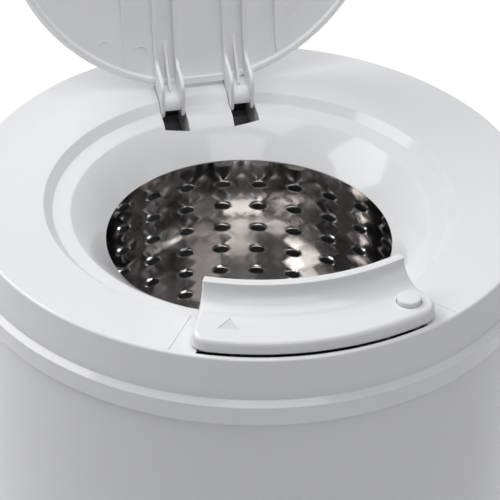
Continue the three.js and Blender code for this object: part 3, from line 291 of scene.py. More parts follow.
def turn(name, profile, fillets=None, base=STEP_Z, centre=(0.0, 0.0), steps=ROUND,
         span=None, middle=FRONT):
    """A profile spun round an upright axis, or through a span of degrees about a middle.

    The profile is closed, unless it starts on the axis.
    """
    start = 0.0 if span is None else middle - span / 2
    piece = trace(name, upright(profile, start, base, centre), profile[0][0] > 0.0, fillets)
    pick_all(piece)
    if span is not None:
        bpy.ops.mesh.edge_face_add()
        bpy.ops.mesh.select_all(action="SELECT")
        steps = round(steps * span / 360)
    bpy.ops.mesh.spin(steps=steps, dupli=False, use_auto_merge=True,
                      angle=-math.radians(360 if span is None else span),
                      center=(*centre, 0.0), axis=(0.0, 0.0, 1.0))
    close_up(piece)
    return piece


def turn_level(name, profile, z, steps, fillets=None):
    """A profile of [radius, y] points spun round a level axis along Y."""
    points = [Vector((radius * MM, y * MM, z)) for radius, y in profile]
    piece = trace(name, points, True, fillets)
    pick_all(piece)
    bpy.ops.mesh.spin(steps=steps, dupli=False, use_auto_merge=True, angle=2 * math.pi,
                      center=(0.0, 0.0, z), axis=(0.0, 1.0, 0.0))
    close_up(piece)
    return piece


def prism(name, points, reach):
    """An outline filled and extruded by a vector."""
    piece = trace(name, points)
    pick_all(piece)
    bpy.ops.mesh.edge_face_add()
    bpy.ops.mesh.extrude_region_move(TRANSFORM_OT_translate={"value": reach})
    close_up(piece)
    return piece


def side_plate(name, outline, left, right):
    """An outline of [y, z] points, from one x to another."""
    points = [Vector((left * MM, y * MM, STEP_Z + z * MM)) for y, z in outline]
    return prism(name, points, Vector(((right - left) * MM, 0.0, 0.0)))


def plan_prism(name, plan, bottom, top):
    """An outline of [x, y] points, from one height to another."""
    points = [Vector((x * MM, y * MM, STEP_Z + bottom * MM)) for x, y in plan]
    return prism(name, points, Vector((0.0, 0.0, (top - bottom) * MM)))


def block(name, low, high):
    """A box from corner to corner."""
    activate(None)
    middle = [(a + b) / 2 * MM for a, b in zip(low, high)]
    bpy.ops.mesh.primitive_cube_add(
        size=1.0, location=(middle[0], middle[1], middle[2] + STEP_Z),
        scale=[(b - a) * MM for a, b in zip(low, high)])
    return added(name)


def modify(piece, kind, **settings):
    """Adds a modifier with its settings and applies it."""
    activate(piece)
    modifier = piece.modifiers.new("change", kind)
    for key, value in settings.items():
        setattr(modifier, key, value)
    bpy.ops.object.modifier_apply(modifier=modifier.name)


def combine(piece, other, operation):
    """Joins, cuts or keeps what two solids share; the second one is used up."""
    modify(piece, "BOOLEAN", operation=operation, solver="MANIFOLD", object=other)
    bpy.data.objects.remove(other)


def cut(piece, *others):
    for other in others:
        combine(piece, other, "DIFFERENCE")


def join(piece, *others):
    for other in others:
        combine(piece, other, "UNION")


def flatten(piece, degrees=0.05):
    """Dissolves the seams between faces that lie in one plane."""
    pick_all(piece)
    bpy.ops.mesh.dissolve_limited(angle_limit=math.radians(degrees))
    activate(piece)


def soften(piece, width, degrees):
    """Rounds the edges that are sharper than an angle."""
    modify(piece, "BEVEL", width=width * MM, segments=2, limit_method="ANGLE",
           angle_limit=math.radians(degrees), use_clamp_overlap=False,
           miter_outer="MITER_ARC")


def soften_by(piece, width, share):
    """Rounds each sharp edge by its own share of a width."""
    pick_all(piece)
    bpy.ops.mesh.select_mode(type="EDGE")
    bpy.ops.mesh.select_all(action="DESELECT")
    bpy.ops.mesh.edges_select_sharp(sharpness=math.radians(40))
    bpy.ops.object.mode_set(mode="OBJECT")
    mesh = piece.data
    shares = mesh.attributes.new("bevel_weight_edge", "FLOAT", "EDGE")
    for edge in mesh.edges:
        if edge.select:
            first, second = (mesh.vertices[index].co for index in edge.vertices)
            shares.data[edge.index].value = share((first + second) / 2)
    modify(piece, "BEVEL", width=width * MM, segments=5, limit_method="WEIGHT",
           use_clamp_overlap=False, miter_outer="MITER_ARC")


def smooth(piece, degrees):
    """Smooth shading, in which large faces outweigh the slivers at their corners."""
    activate(piece)
    bpy.ops.object.shade_smooth_by_angle(angle=math.radians(degrees))
    modify(piece, "WEIGHTED_NORMAL", keep_sharp=True)


def complete(piece, name, body, slot, node, finish=None, degrees=32):
    """Shades and names a piece, gives it its finish (the slot's finish unless one is given) and its body, and
    hides the CAD node that it stands for.
    """
    smooth(piece, degrees)
    piece.name = piece.data.name = name
    piece.data.materials.clear()
    piece.data.materials.append(finish or slot_finish(slot))
    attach(piece, body)
    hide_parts(node)


# ---- finishes

def scaled(tone, share):
    return tuple(channel * share for channel in tone)


class Wire:
    """A socket in a Python expression: each operator adds its Math node."""

    def __init__(self, finish, socket):
        self.finish, self.socket = finish, socket

    def maths(self, operation, first, second=0.0):
        return self.finish.node("Math", {"operation": operation}, {0: first, 1: second})

    def __add__(self, other):
        return self.maths("ADD", self, other)

    __radd__ = __add__

    def __mul__(self, other):
        return self.maths("MULTIPLY", self, other)

    __rmul__ = __mul__

    def __sub__(self, other):
        return self.maths("SUBTRACT", self, other)

    def __rsub__(self, other):
        return self.maths("SUBTRACT", other, self)


class Finish:
    """A material in the making: one shader, and nodes that node() adds."""

    def __init__(self, name, **constants):
        self.material = bpy.data.materials.new(name)
        self.material.use_nodes = True
        self.tree = self.material.node_tree
        self.tree.nodes.clear()
        self.shader = self.tree.nodes.new("ShaderNodeBsdfPrincipled")
        output = self.tree.nodes.new("ShaderNodeOutputMaterial")
        self.tree.links.new(self.shader.outputs[0], output.inputs["Surface"])
        for socket, value in constants.items():
            self.set(socket.replace("_", " "), value)
        self.place = self.node("TexCoord", {}, {}, "Object")

    def node(self, kind, settings, sockets, output=0):
        made = self.tree.nodes.new("ShaderNode" + kind)
        for key, value in settings.items():
            setattr(made, key, value)
        for key, value in sockets.items():
            self.feed(made.inputs[key], value)
        return Wire(self, made.outputs[output])

    def feed(self, socket, value):
        if isinstance(value, Wire):
            self.tree.links.new(value.socket, socket)
        elif isinstance(socket.default_value, float):
            socket.default_value = value
        else:
            socket.default_value = (*value, 1.0)[:len(socket.default_value)]

    def set(self, socket, value):
        self.feed(self.shader.inputs[socket], value)

    def noise(self, scale, detail, stretch=(1.0, 1.0, 1.0)):
        place = self.node("Mapping", {}, {"Vector": self.place, "Scale": stretch})
        return self.node("TexNoise", {}, {"Vector": place, "Scale": scale, "Detail": detail},
                         "Fac")

    def blend(self, factor, first, second):
        """A mix of two colours by a factor."""
        return self.node("Mix", {"data_type": "RGBA"}, {0: factor, 6: first, 7: second}, 2)

    def shades(self, pattern, tone, share):
        """A tone that a pattern brings down to a share of itself."""
        return self.blend(pattern, scaled(tone, share), tone)

    def span(self, value, low, high, out_low=0.0, out_high=1.0):
        return self.node("MapRange", {}, {0: value, 1: low, 2: high, 3: out_low, 4: out_high})

    def bump(self, height, distance, strength=1.0, under=None):
        """A relief of a height pattern, its distance in millimetres."""
        sockets = {"Height": height, "Distance": distance * MM, "Strength": strength}
        if under:
            sockets["Normal"] = under
        return self.node("Bump", {}, sockets)


def moulded(name, tone, roughness, grain):
    """Moulded plastic: faint flow marks in its tone, a fine skin, and finger-worn gloss."""
    finish = Finish(name, IOR=1.46)
    flow = finish.noise(9.0, 3.0, (1.0, 1.0, 2.5))
    finish.set("Base Color", finish.shades(flow, tone, 0.965))
    wear = finish.noise(38.0, 4.0)
    finish.set("Roughness", finish.span(wear, 0.3, 0.7, roughness * 0.9, roughness * 1.15))
    skin = finish.noise(1400.0, 1.0)
    waves = finish.noise(55.0, 1.0)
    fine = finish.bump(skin, grain, 0.5)
    finish.set("Normal", finish.bump(waves, 0.05, 0.35, fine))
    return finish.material


def etched(name, tone):
    """The cover's plastic with a fine spark-etched face."""
    finish = Finish(name, IOR=1.46)
    grain = finish.noise(2600.0, 2.0)
    finish.set("Base Color", finish.shades(grain, scaled(tone, 0.84), 0.93))
    finish.set("Roughness", finish.span(grain, 0.3, 0.7, 0.55, 0.7))
    finish.set("Normal", finish.bump(grain, 0.03, 0.6))
    return finish.material


def painted(name, tone):
    """Sprayed paint on sheet steel, with the spray's orange peel."""
    finish = Finish(name, Roughness=0.3, Coat_Weight=0.4, Coat_Roughness=0.12)
    flow = finish.noise(6.0, 2.0)
    finish.set("Base Color", finish.shades(flow, tone, 0.975))
    peel = finish.noise(420.0, 2.0)
    finish.set("Normal", finish.bump(peel, 0.02, 0.4))
    return finish.material


def stainless(name, tone):
    """Bright rolled stainless steel, a little stained and rubbed, and never quite flat."""
    finish = Finish(name, Metallic=1.0)
    stain = finish.noise(30.0, 4.0)
    finish.set("Base Color", finish.shades(stain, tone, 0.8))
    rub = finish.noise(60.0, 5.0, (1.0, 1.0, 0.12))
    finish.set("Roughness", finish.span(rub, 0.25, 0.75, 0.05, 0.12))
    waves = finish.noise(20.0, 0.0)
    finish.set("Normal", finish.bump(waves, 1.5))
    return finish.material


def perforated(name, tone):
    """The drum's sheet: wavier, duller on the collar round each pressed hole, and painted paler there as a
    highlight.
    """
    sizes = bpy.context.scene.dryer_drum
    finish = Finish(name, Metallic=1.0)
    x, y, z = (finish.node("SeparateXYZ", {}, {"Vector": finish.place}, axis)
               for axis in range(3))
    below = z - (STEP_Z - FIRST_ROW * MM)
    column = 0.5 - 0.5 * x.maths("COSINE", x.maths("ARCTAN2", y, x) * sizes.columns)
    row = 0.5 + 0.5 * z.maths("COSINE", below * (2 * math.pi / sizes.row_pitch))
    # the collar round each hole: a mask for a painted highlight in the colour and for higher roughness
    collar = finish.span(column * row * row, 0.38, 0.5)
    stain = finish.noise(30.0, 4.0)
    sheet = finish.shades(stain, tone, 0.85)
    # painted highlight: the collar round each hole is painted paler, where light catches the drawn-up edge
    finish.set("Base Color", finish.blend(collar, sheet, (0.96, 0.95, 0.94)))
    rub = finish.noise(60.0, 5.0, (1.0, 1.0, 0.12))
    rough = finish.span(rub, 0.25, 0.75, 0.055, 0.078)
    finish.set("Roughness", rough + collar * 0.12)
    waves = finish.noise(16.0, 0.0, (1.0, 1.0, 0.75))
    finish.set("Normal", finish.bump(waves, 1.25))
    return finish.material


def metal(name, tone, roughness, grain, stretch=(1.0, 1.0, 1.0)):
    """Plain machine metal, drawn or cast, with its grain in tone and height."""
    finish = Finish(name, Metallic=1.0)
    cloud = finish.noise(45.0, 4.0, stretch)
    finish.set("Base Color", finish.shades(cloud, tone, 0.72))
    fine = finish.noise(grain, 3.0, stretch)
    finish.set("Roughness", finish.span(fine, 0.3, 0.7, roughness * 0.75, roughness * 1.2))
    finish.set("Normal", finish.bump(fine, 0.12, 0.5))
    return finish.material


def matt(name, tone, roughness, grain, depth):
    """Rubber, friction material or matt plastic, clouded with dust."""
    finish = Finish(name)
    cloud = finish.noise(grain * 0.15, 4.0)
    dusty = tuple(channel * 1.5 + 0.01 for channel in tone)
    finish.set("Base Color", finish.blend(cloud, tone, dusty))
    fine = finish.noise(grain, 3.0)
    finish.set("Roughness", finish.span(fine, 0.3, 0.7, roughness * 0.9, roughness * 1.1))
    finish.set("Normal", finish.bump(fine, depth, 0.6))
    return finish.material


def wound(name, tone):
    """Lacquered copper wire, wound in many turns round the axis, with painted shade in the grooves between the
    turns.
    """
    finish = Finish(name, Metallic=0.9, Roughness=0.35)
    turns_and_groove_shade = finish.node("TexWave", {"bands_direction": "Z"},
                        {"Vector": finish.place, "Scale": 320.0, "Distortion": 1.5,
                         "Detail": 1.0}, "Fac")
    # painted shade: the colour falls to 0.45 of the tone in the grooves between the turns
    finish.set("Base Color", finish.shades(turns_and_groove_shade, tone, 0.45))
    finish.set("Normal", finish.bump(turns_and_groove_shade, 0.4, 0.8))
    return finish.material


FINISHES = {}


def slot_finish(slot):
    """The finish of a material slot, made the first time that it is asked for."""
    tones = bpy.context.scene.dryer_colours
    recipes = {
        "cover_white": (moulded, tuple(tones.cover), 0.1, 0.004),
        "lid_white": (moulded, tuple(tones.lid), 0.3, 0.01),
        "casing_paint": (painted, tuple(tones.casing)),
        "stainless": (stainless, tuple(tones.drum)),
        "steel": (metal, (0.52, 0.53, 0.55), 0.32, 900.0, (1.0, 1.0, 0.2)),
        "cast_aluminium": (metal, (0.6, 0.61, 0.63), 0.5, 1300.0),
        "core_iron": (metal, (0.33, 0.33, 0.34), 0.45, 1100.0, (0.2, 0.2, 6.0)),
        "winding_copper": (wound, (0.62, 0.28, 0.13)),
        "rubber": (matt, (0.022, 0.022, 0.024), 0.75, 700.0, 0.15),
        "tub_plastic": (moulded, (0.66, 0.68, 0.7), 0.45, 0.03),
        "black_plastic": (matt, (0.03, 0.03, 0.034), 0.45, 1500.0, 0.08),
        "brake_lining": (matt, (0.11, 0.08, 0.06), 0.9, 900.0, 0.3),
    }
    if slot not in FINISHES:
        make, *values = recipes[slot]
        FINISHES[slot] = make(slot, *values)
    return FINISHES[slot]


# ---- top cover

def annulus_height(sizes, radius):
    """Height of the sloped annulus at a radius."""
    slope = sizes.shoulder_rise / (sizes.shoulder_radius - sizes.step_radius)
    return slope * (radius - sizes.step_radius)


def funnel_line(sizes, bulge=1.3, steps=8):
    """The funnel's slightly convex wall, from the mouth's lip to the ledge."""
    width = sizes.funnel_radius - sizes.mouth_radius
    rise = sizes.mouth_drop - sizes.funnel_drop
    line = []
    for i in range(steps + 1):
        t = i / steps
        line.append((sizes.mouth_radius + width * t,
                     rise * t - sizes.mouth_drop + bulge * 4 * t * (1 - t)))
    return line


def cover_profile(sizes):
    """The cover's section: its upper face from the mouth outwards, then its inside back."""
    outside = funnel_line(sizes) + [
        (sizes.ledge_radius, -sizes.ledge_drop), (sizes.step_radius, 0.0),
        (sizes.shoulder_radius, sizes.shoulder_rise), (sizes.band_radius, -sizes.band_drop),
        (sizes.bead_radius, -sizes.bead_drop), (sizes.bead_radius - 2.7, -sizes.skirt_drop)]
    seat, stop = CASING_RADIUS + 0.5, CASING_RADIUS - 1.0
    seat_top = -24.5
    inside = [(seat, -sizes.skirt_drop), (seat, seat_top), (stop, seat_top), (stop, 3.5),
              (sizes.step_radius - 0.7, -3.0), (sizes.ledge_radius - 0.8, -7.9),
              (sizes.funnel_radius - 0.3, -9.5), (95.6, -18.4),
              (sizes.mouth_radius + 1.1, -27.4)]
    fillets = {8: 3.0, 9: 1.0, 10: 1.0, 11: 1.8, 12: 1.0, 13: 0.7, 14: 0.5}
    return outside + inside, fillets


def under_cover(sizes, drop, bottom):
    """A solid whose top lies under the cover's surface."""
    edge = CASING_RADIUS - 0.6
    surface = [(sizes.mouth_radius, -sizes.mouth_drop), (94.4, -16.6),
               (sizes.funnel_radius, -6.9), (sizes.ledge_radius, -sizes.ledge_drop),
               (sizes.step_radius, 0.0), (edge, annulus_height(sizes, edge))]
    top = [(radius, height - drop) for radius, height in surface]
    return turn("under", top + [(edge, bottom), (sizes.mouth_radius, bottom)])


def hinge_slots(cover, sizes, arm):
    """A slot for each goose-neck, between cheeks that hang under the cover."""
    half, front, cheek = 7.75, 98.9, 3.0
    for x in (-arm, arm):
        cheeks = block("cheeks", (x - half - cheek, front - cheek, -23.0),
                       (x + half + cheek, 133.2, 6.6))
        combine(cheeks, under_cover(sizes, 0.5, -24.0), "INTERSECT")
        join(cover, cheeks)
    for x in (-arm, arm):
        cut(cover, block("slot", (x - half, front, -30.0), (x + half, 133.4, 12.0)))


def lever_pocket(cover):
    """A shallow pocket for the lever, a slit under its front and slots for its legs."""
    above, edge = 14.0, 164.7
    pocket = [(121.2, -0.5), (edge, 5.7), (edge, above), (121.2, above)]
    slit = section(157.0, edge - 1.0, -4.0, above)
    cut(cover, turn("pocket", pocket, span=60.7, middle=FRONT + 0.9),
        turn("slit", slit, span=48.2))
    reach = LEG_HALF + LEG_GAP
    for x in LEVER_LEGS:
        cut(cover, block("leg_slot", (x - reach, LEG_FRONT - LEG_GAP, -15.0),
                         (x + reach, LEG_BACK + LEVER_TRAVEL + LEG_GAP, 9.0)))


class DRYER_OT_cover(bpy.types.Operator):
    """Model the top cover: funnel, ledge, annulus, band, bead, pocket and hinge slots"""
    bl_idname = "mesh.dryer_cover"
    bl_label = "Top cover"

    def execute(self, context):
        sizes = in_mm(context.scene.dryer_cover)
        cover = turn("top_cover", *cover_profile(sizes))
        hinge_slots(cover, sizes, in_mm(context.scene.dryer_lid).arm_place)
        flatten(cover)
        lever_pocket(cover)
        complete(cover, "cover", "housing", "cover_white", "top_cover")
        return {"FINISHED"}


# ---- lid

def lid_top(sizes, radius):
    """Height of the closed lid's upper face at a radius."""
    return sizes.rim_rise + sizes.dome * (1 - (radius / sizes.radius) ** 2)


def closed_point(point):
    """A [y, z] point of the open lid, turned about the hinge to where it is when closed."""
    angle = math.radians(LID_ANGLE)
    dy, dz = point[0] - HINGE_YZ[0], point[1] - HINGE_YZ[1]
    return (HINGE_YZ[0] + dy * math.cos(angle) - dz * math.sin(angle),
            HINGE_YZ[1] + dy * math.sin(angle) + dz * math.cos(angle))


def arm_rib_outline(sizes):
    """The goose-neck side of an arm: straight rib, neck, tail and eye round the pin."""
    def inside(y):
        return lid_top(sizes, math.hypot(y, sizes.arm_place)) - sizes.wall / 2

    straight, neck, tail = -4.6, (96.9, -4.6), (115.3, -20.8)
    outline = [(-62.1, inside(-62.1)), (-36.1, straight), neck]
    outline += bezier(neck, (105.9, neck[1]), (103.9, tail[1]), tail, 10)
    outline += [(HINGE_YZ[0] + 4, -18.5), (131.4, -17.2), (131.7, -14.8)]
    outline += arc(HINGE_YZ, 4.6, 4.6, 0, 90, 6)
    outline += [(sizes.rear_edge, -0.2)] + [(y, inside(y)) for y in (92.6, 46.3, 0.0)]
    return outline


def arm_hood_outline():
    """The web that bends over the pin and runs back into the lid's edge."""
    bend, outer, inner = (121.7, -4.0), 8.0, 6.0
    outside = [closed_point(point) for point in arc(bend, outer, outer, 184, 70, 12)]
    inside = [closed_point(point) for point in arc(bend, inner, inner, 70, 184, 12)]
    return outside + [(115.2, -3.2), (115.2, -0.8)] + inside


def arm_wedge_outline(sizes):
    """The thin web that braces the hood against the lid."""
    start = (84.7, lid_top(sizes, 84.7) - sizes.wall / 2)
    return [start, closed_point((120.8, 5.7)), closed_point((122.8, 3.2)), (115.1, -1.2)]


def lid_shell(sizes, steps=16):
    """The domed disc with its turned-down rim, cut straight between the arms."""
    radii = [sizes.radius * i / steps for i in range(steps)]
    top = [(radius, lid_top(sizes, radius)) for radius in radii]
    under = [(radius, height - sizes.wall) for radius, height in top[:-1]]
    foot, drop, edge = sizes.rim_radius, sizes.rim_drop, sizes.rear_edge
    rim = [(sizes.radius, sizes.rim_rise), (foot, -drop), (foot - 2.0, -drop),
           (foot - 3.2, -1.35)]
    fillets = {steps: 0.6, steps + 1: 0.5, steps + 2: 0.4, steps + 3: 1.0}
    lid = turn("lid", top + rim + under[::-1], fillets)
    cut(lid, block("chord", (-60, edge, -8), (60, 125, 12)))
    half = math.sqrt(foot ** 2 - edge ** 2) - 0.5
    join(lid, block("rear_rim", (-half, edge - 3.5, -drop), (half, edge, -0.2)))
    flatten(lid, 0.003)
    soften(lid, 0.4, 50)
    return lid


def hinge_arm(lid, sizes, x):
    """Two goose-neck ribs, with the hood and its brace between them."""
    rib_wall, between, hood_half, wedge_half = 2.2, 5.2, 6.4, 0.7
    for left in (x - between - rib_wall, x + between):
        rib = side_plate("rib", arm_rib_outline(sizes), left, left + rib_wall)
        soften(rib, 0.45, 60)
        join(lid, rib)
    hood = side_plate("hood", arm_hood_outline(), x - hood_half, x + hood_half)
    wedge = side_plate("wedge", arm_wedge_outline(sizes), x - wedge_half, x + wedge_half)
    join(lid, hood, wedge)


def ejector_mark(lid, sizes, x, y, depth):
    """The faint ring that an ejector pin leaves on the lid's inside."""
    height = lid_top(sizes, math.hypot(x, y)) - sizes.wall
    ring = section(4.25, 4.6, height - depth, height + 0.6)
    join(lid, turn("mark", ring, centre=(x * MM, y * MM), steps=40))


def pin_bore(lid, x):
    """The bore for a hinge pin through both ribs of an arm."""
    bpy.ops.object.select_all(action="DESELECT")
    bpy.ops.mesh.primitive_cylinder_add(
        vertices=32, radius=2.3 * MM, depth=20 * MM, rotation=(0, math.pi / 2, 0),
        location=(x * MM, HINGE.y, HINGE.z))
    cut(lid, added("bore"))


class DRYER_OT_lid(bpy.types.Operator):
    """Model the lid with its two goose-neck hinge arms, and open it"""
    bl_idname = "mesh.dryer_lid"
    bl_label = "Lid"

    def execute(self, context):
        sizes = in_mm(context.scene.dryer_lid)
        arms = (-sizes.arm_place, sizes.arm_place)
        lid = lid_shell(sizes)
        for x in arms:
            hinge_arm(lid, sizes, x)
        for x in (-48.0, 48.0):
            join(lid, block("thin_rib", (x - 0.4, -20.0, -3.0), (x + 0.4, 100.0, 1.0)))
        for x, y, depth in ((-37.3, 94.0, 0.2), (-59.5, 88.4, 0.15)):
            ejector_mark(lid, sizes, x, y, depth)
        for x in arms:
            pin_bore(lid, x)
        pick_all(lid)
        bpy.ops.transform.rotate(value=math.radians(LID_ANGLE), orient_axis="X",
                                 center_override=HINGE)
        activate(lid)
        complete(lid, "lid_with_arms", "lid", "lid_white", "lid")
        return {"FINISHED"}


# ---- lock lever and button

LEVER_CENTRE = Vector((3.4, 12.3))  # in plan; the lip's arc is flatter than the mouth's
BUTTON = tuple(value * MM for value in polar(149.5, 23.0))
BUTTON_BORE = 7.35


def lever_radius(place):
    """Distance of a vertex from the lever's own centre."""
    return (place.to_2d() - LEVER_CENTRE * MM).length / MM


def lever_profile(sizes):
    """Lip, cove and top, by radius about the lever's own centre, past its front."""
    inner, outer, foot, flat = sizes.lip_radius, sizes.lip_radius + sizes.lip_wall, 2.2, 0.4
    crest = sizes.lip_rise - flat
    lip = [(inner - 0.3, foot), (inner, sizes.lip_rise), (outer, sizes.lip_rise)]
    cove = arc((outer + sizes.cove_width, crest), sizes.cove_width, crest - sizes.top_rise,
               180, 270, 10)
    past = outer + 46.0
    beyond = [(past, sizes.top_rise), (past, 8.5), (outer + 7.0, foot)]
    return lip + cove + beyond, {1: 0.5, 2: 1.3}


def lever_plan(half, outer, corner):
    """The lever's outline in plan: straight ends, round corners and an arched front."""
    sides = []
    for degrees in (-half, half):
        along = Vector(polar(1.0, degrees))
        across = LEVER_CENTRE.dot(along)
        reach = math.sqrt(outer ** 2 - LEVER_CENTRE.length_squared + across ** 2) - across
        tip = LEVER_CENTRE + along * reach
        turned = math.degrees(math.atan2(tip.x, -tip.y) - math.copysign(corner / outer, degrees))
        start, end = LEVER_CENTRE + along * (reach - corner), Vector(polar(outer, turned))
        curve = bezier(start, start.lerp(tip, 0.55), end.lerp(tip, 0.55), end, 10)
        sides.append(([LEVER_CENTRE + along * 120.0, start] + curve, turned))
    (left, first), (right, last) = sides
    front = [polar(outer, first + (last - first) * i / 20) for i in range(1, 20)]
    return left + front + right[::-1]


def edge_share(place):
    """The full rounding along the top, less up the lip, and hardly any underneath."""
    least, cove_start, ramp = 0.26, 138.0, 12.0
    if (place.z - STEP_Z) / MM < 12.0:
        return 0.12
    along = min(max((lever_radius(place) - cove_start) / ramp, 0.0), 1.0)
    return least + (1 - least) * along


def tidy_corner(lever, top):
    """Merges the slivers where the rounded ends pass from the cove to the top."""
    floor = STEP_Z + (top - 0.9) * MM
    pick(lever, "VERT", lambda v: v.co.z > floor and 151.0 < lever_radius(v.co) < 157.5)
    bpy.ops.mesh.remove_doubles(threshold=0.75 * MM)
    close_up(lever)
    flatten(lever, 0.2)


def hollow_out(lever, sizes, half):
    """The open underside behind the front wall, between the two ends."""
    roof, front_wall, past = sizes.top_rise - 2.6, 2.9, 190.0
    end_wall = 1.2  # degrees
    hollow = turn("hollow", section(148.9, past, -12.0, roof),
                  centre=LEVER_CENTRE * MM, span=2 * (half - end_wall))
    plan = lever_plan(half - end_wall, sizes.front_radius - front_wall, sizes.corner - 2.6)
    combine(hollow, plan_prism("inner_plan", plan, -14, 20), "INTERSECT")
    cut(lever, hollow)


def button_well(lever):
    """The cup round the button, the two legs through the cover, and the button's bore."""
    cup = section(BUTTON_BORE + 0.75, BUTTON_BORE + 2.35, 2.0, 13.0)
    join(lever, turn("cup", cup, centre=BUTTON, steps=48))
    for x in LEVER_LEGS:
        join(lever, block("leg", (x - LEG_HALF, LEG_FRONT, -10.7),
                          (x + LEG_HALF, LEG_BACK, 13.0)))
    bore = section(0.0, BUTTON_BORE, 9.0, 17.0)
    cut(lever, turn("bore", bore, centre=BUTTON, steps=64))


def sink_arrow(lever, top, depth=0.35):
    """Sinks the arrow into the lever's top and returns the height of its floor."""
    points = [polar(140.4, -18.1), polar(151.2, -20.5), polar(151.0, -15.9)]
    cut(lever, plan_prism("arrow", points, top - depth, top + 1.0))
    return STEP_Z + (top - depth) * MM


class DRYER_OT_lever(bpy.types.Operator):
    """Model the sliding lock lever with its upright lip, cove and hollow underside"""
    bl_idname = "mesh.dryer_lever"
    bl_label = "Lock lever"

    def execute(self, context):
        sizes = in_mm(context.scene.dryer_lever)
        half = math.degrees(sizes.half_angle)
        profile, fillets = lever_profile(sizes)
        lever = turn("lever", profile, fillets, centre=LEVER_CENTRE * MM, span=58.0, steps=124)
        plan = lever_plan(half, sizes.front_radius, sizes.corner)
        combine(lever, plan_prism("plan", plan, -12, 40), "INTERSECT")
        flatten(lever, 0.2)
        soften_by(lever, sizes.edge, edge_share)
        tidy_corner(lever, sizes.top_rise)
        hollow_out(lever, sizes, half)
        button_well(lever)
        arrow_floor = sink_arrow(lever, sizes.top_rise)
        complete(lever, "lever_with_lip", "lever", "cover_white", "lock_lever")
        cover_tone = tuple(context.scene.dryer_colours.cover)
        lever.data.materials.append(etched("arrow_face", cover_tone))
        for face in lever.data.polygons:
            if abs(face.center.z - arrow_floor) < 0.01 * MM and face.normal.z > 0.99:
                face.material_index = 1
        return {"FINISHED"}


def conical_spring(wire=0.4 * MM, turns=2.25, steps=54):
    """The conical spring under the button, which presses nearly flat; only its shape at rest is built."""
    low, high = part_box("button_spring")
    height = high.z - low.z
    wide, taper = 6.9, 3.5
    points = []
    for i in range(steps + 1):
        along = i / steps
        angle = 2 * math.pi * turns * along
        radius = (wide - taper * along) * MM
        points.append(Vector((BUTTON[0] + radius * math.cos(angle),
                              BUTTON[1] + radius * math.sin(angle),
                              low.z + wire + (height - 2 * wire) * along)))
    trace("spring", points, closed=False)
    bpy.ops.object.convert(target="CURVE")
    curve = bpy.context.active_object.data
    curve.bevel_depth = wire
    curve.bevel_resolution = 1
    curve.use_fill_caps = True
    bpy.ops.object.convert(target="MESH")
    spring = bpy.context.active_object
    close_up(spring)
    complete(spring, "conical_spring", "lever", "steel", "button_spring", degrees=50)
    (height - BUTTON_TRAVEL * MM) / height
    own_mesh(spring)


class DRYER_OT_button(bpy.types.Operator):
    """Model the round release button and its conical spring"""
    bl_idname = "mesh.dryer_button"
    bl_label = "Release button"

    def execute(self, context):
        radius, flange, foot, top = BUTTON_BORE - 0.35, BUTTON_BORE + 0.45, 10.6, 18.2
        profile = [(0.0, foot), (flange, foot), (flange, foot + 1.5), (radius, foot + 1.5),
                   (radius, top), (radius / 2, top + 0.25), (0.0, top + 0.3)]
        button = turn("button", profile, {2: 0.3, 4: 0.9}, centre=BUTTON, steps=64)
        complete(button, "button_cap", "button", "cover_white", "release_button")
        conical_spring()
        return {"FINISHED"}


# ---- drum

def flat_mantle(sizes, width):
    """The mantle's cells side by side, upright and still flat."""
    sheet = mantle_cell(width, sizes.row_pitch, sizes)
    pick_all(sheet)
    start = -(sizes.columns - 1) / 2 * width
    bpy.ops.transform.translate(value=(start, 0.0, 0.0))
    for count, offset in ((sizes.columns, (width, 0.0, 0.0)),
                          (sizes.rows, (0.0, -sizes.row_pitch, 0.0))):
        modify(sheet, "ARRAY", count=count, use_relative_offset=False,
               use_constant_offset=True, constant_offset_displace=offset,
               use_merge_vertices=True, merge_threshold=0.01 * MM)
    pick_all(sheet)
    bpy.ops.transform.rotate(value=-math.pi / 2, orient_axis="X",
                             center_override=(0.0, 0.0, 0.0))
    bpy.ops.transform.translate(value=(0.0, 0.0, STEP_Z - FIRST_ROW * MM))
    return sheet


def mantle_cell(width, height, sizes):
    """One cell of sheet with an oval hole, whose edge is drawn up round it."""
    activate(None)
    bpy.ops.mesh.primitive_plane_add(size=1.0)
    bpy.context.active_object.scale = (width, height, 1.0)
    cell = added("cell")
    pick_all(cell)
    bpy.ops.mesh.subdivide(number_cuts=3)
    side, end = 0.49 * width, 0.49 * height  # just inside the cell's border
    pick(cell, "VERT", lambda v: abs(v.co.x) < side and abs(v.co.y) < end)
    bpy.ops.mesh.delete(type="VERT")
    # rings from the flat sheet over the collar, down the hole and back along the outside:
    # how far each is wider and taller than the hole, and its level
    collar = ((1.45, 1.35, 0.0), (1.0, 0.95, 0.5), (0.55, 0.55, 1.1), (0.15, 0.15, 0.95),
              (0.0, 0.0, 0.3), (0.0, 0.0, -DRUM_SHEET), (1.45, 1.35, -DRUM_SHEET))
    rings = [(sizes.hole_width / 2 + wider * MM, sizes.hole_height / 2 + taller * MM,
              level * MM) for wider, taller, level in collar]
    wide, tall, level = rings[0]
    bpy.ops.mesh.primitive_circle_add(vertices=16, radius=1.0)
    bpy.ops.transform.resize(value=(wide, tall, 1.0), center_override=(0.0, 0.0, 0.0))
    bpy.ops.mesh.select_all(action="SELECT")
    bpy.ops.mesh.bridge_edge_loops()
    pick(cell, "VERT", lambda v: abs(v.co.x) <= wide + SAME and abs(v.co.y) < end)
    for next_wide, next_tall, next_level in rings[1:]:
        raise_edges(next_level - level)
        bpy.ops.transform.resize(value=(next_wide / wide, next_tall / tall, 1.0),
                                 center_override=(0.0, 0.0, next_level))
        wide, tall, level = next_wide, next_tall, next_level
    bpy.ops.object.mode_set(mode="OBJECT")
    pick(cell, "FACE", lambda f: abs(f.center.z) < SAME)
    bpy.ops.mesh.duplicate_move(
        TRANSFORM_OT_translate={"value": (0.0, 0.0, -DRUM_SHEET * MM)})
    close_up(cell)
    return cell


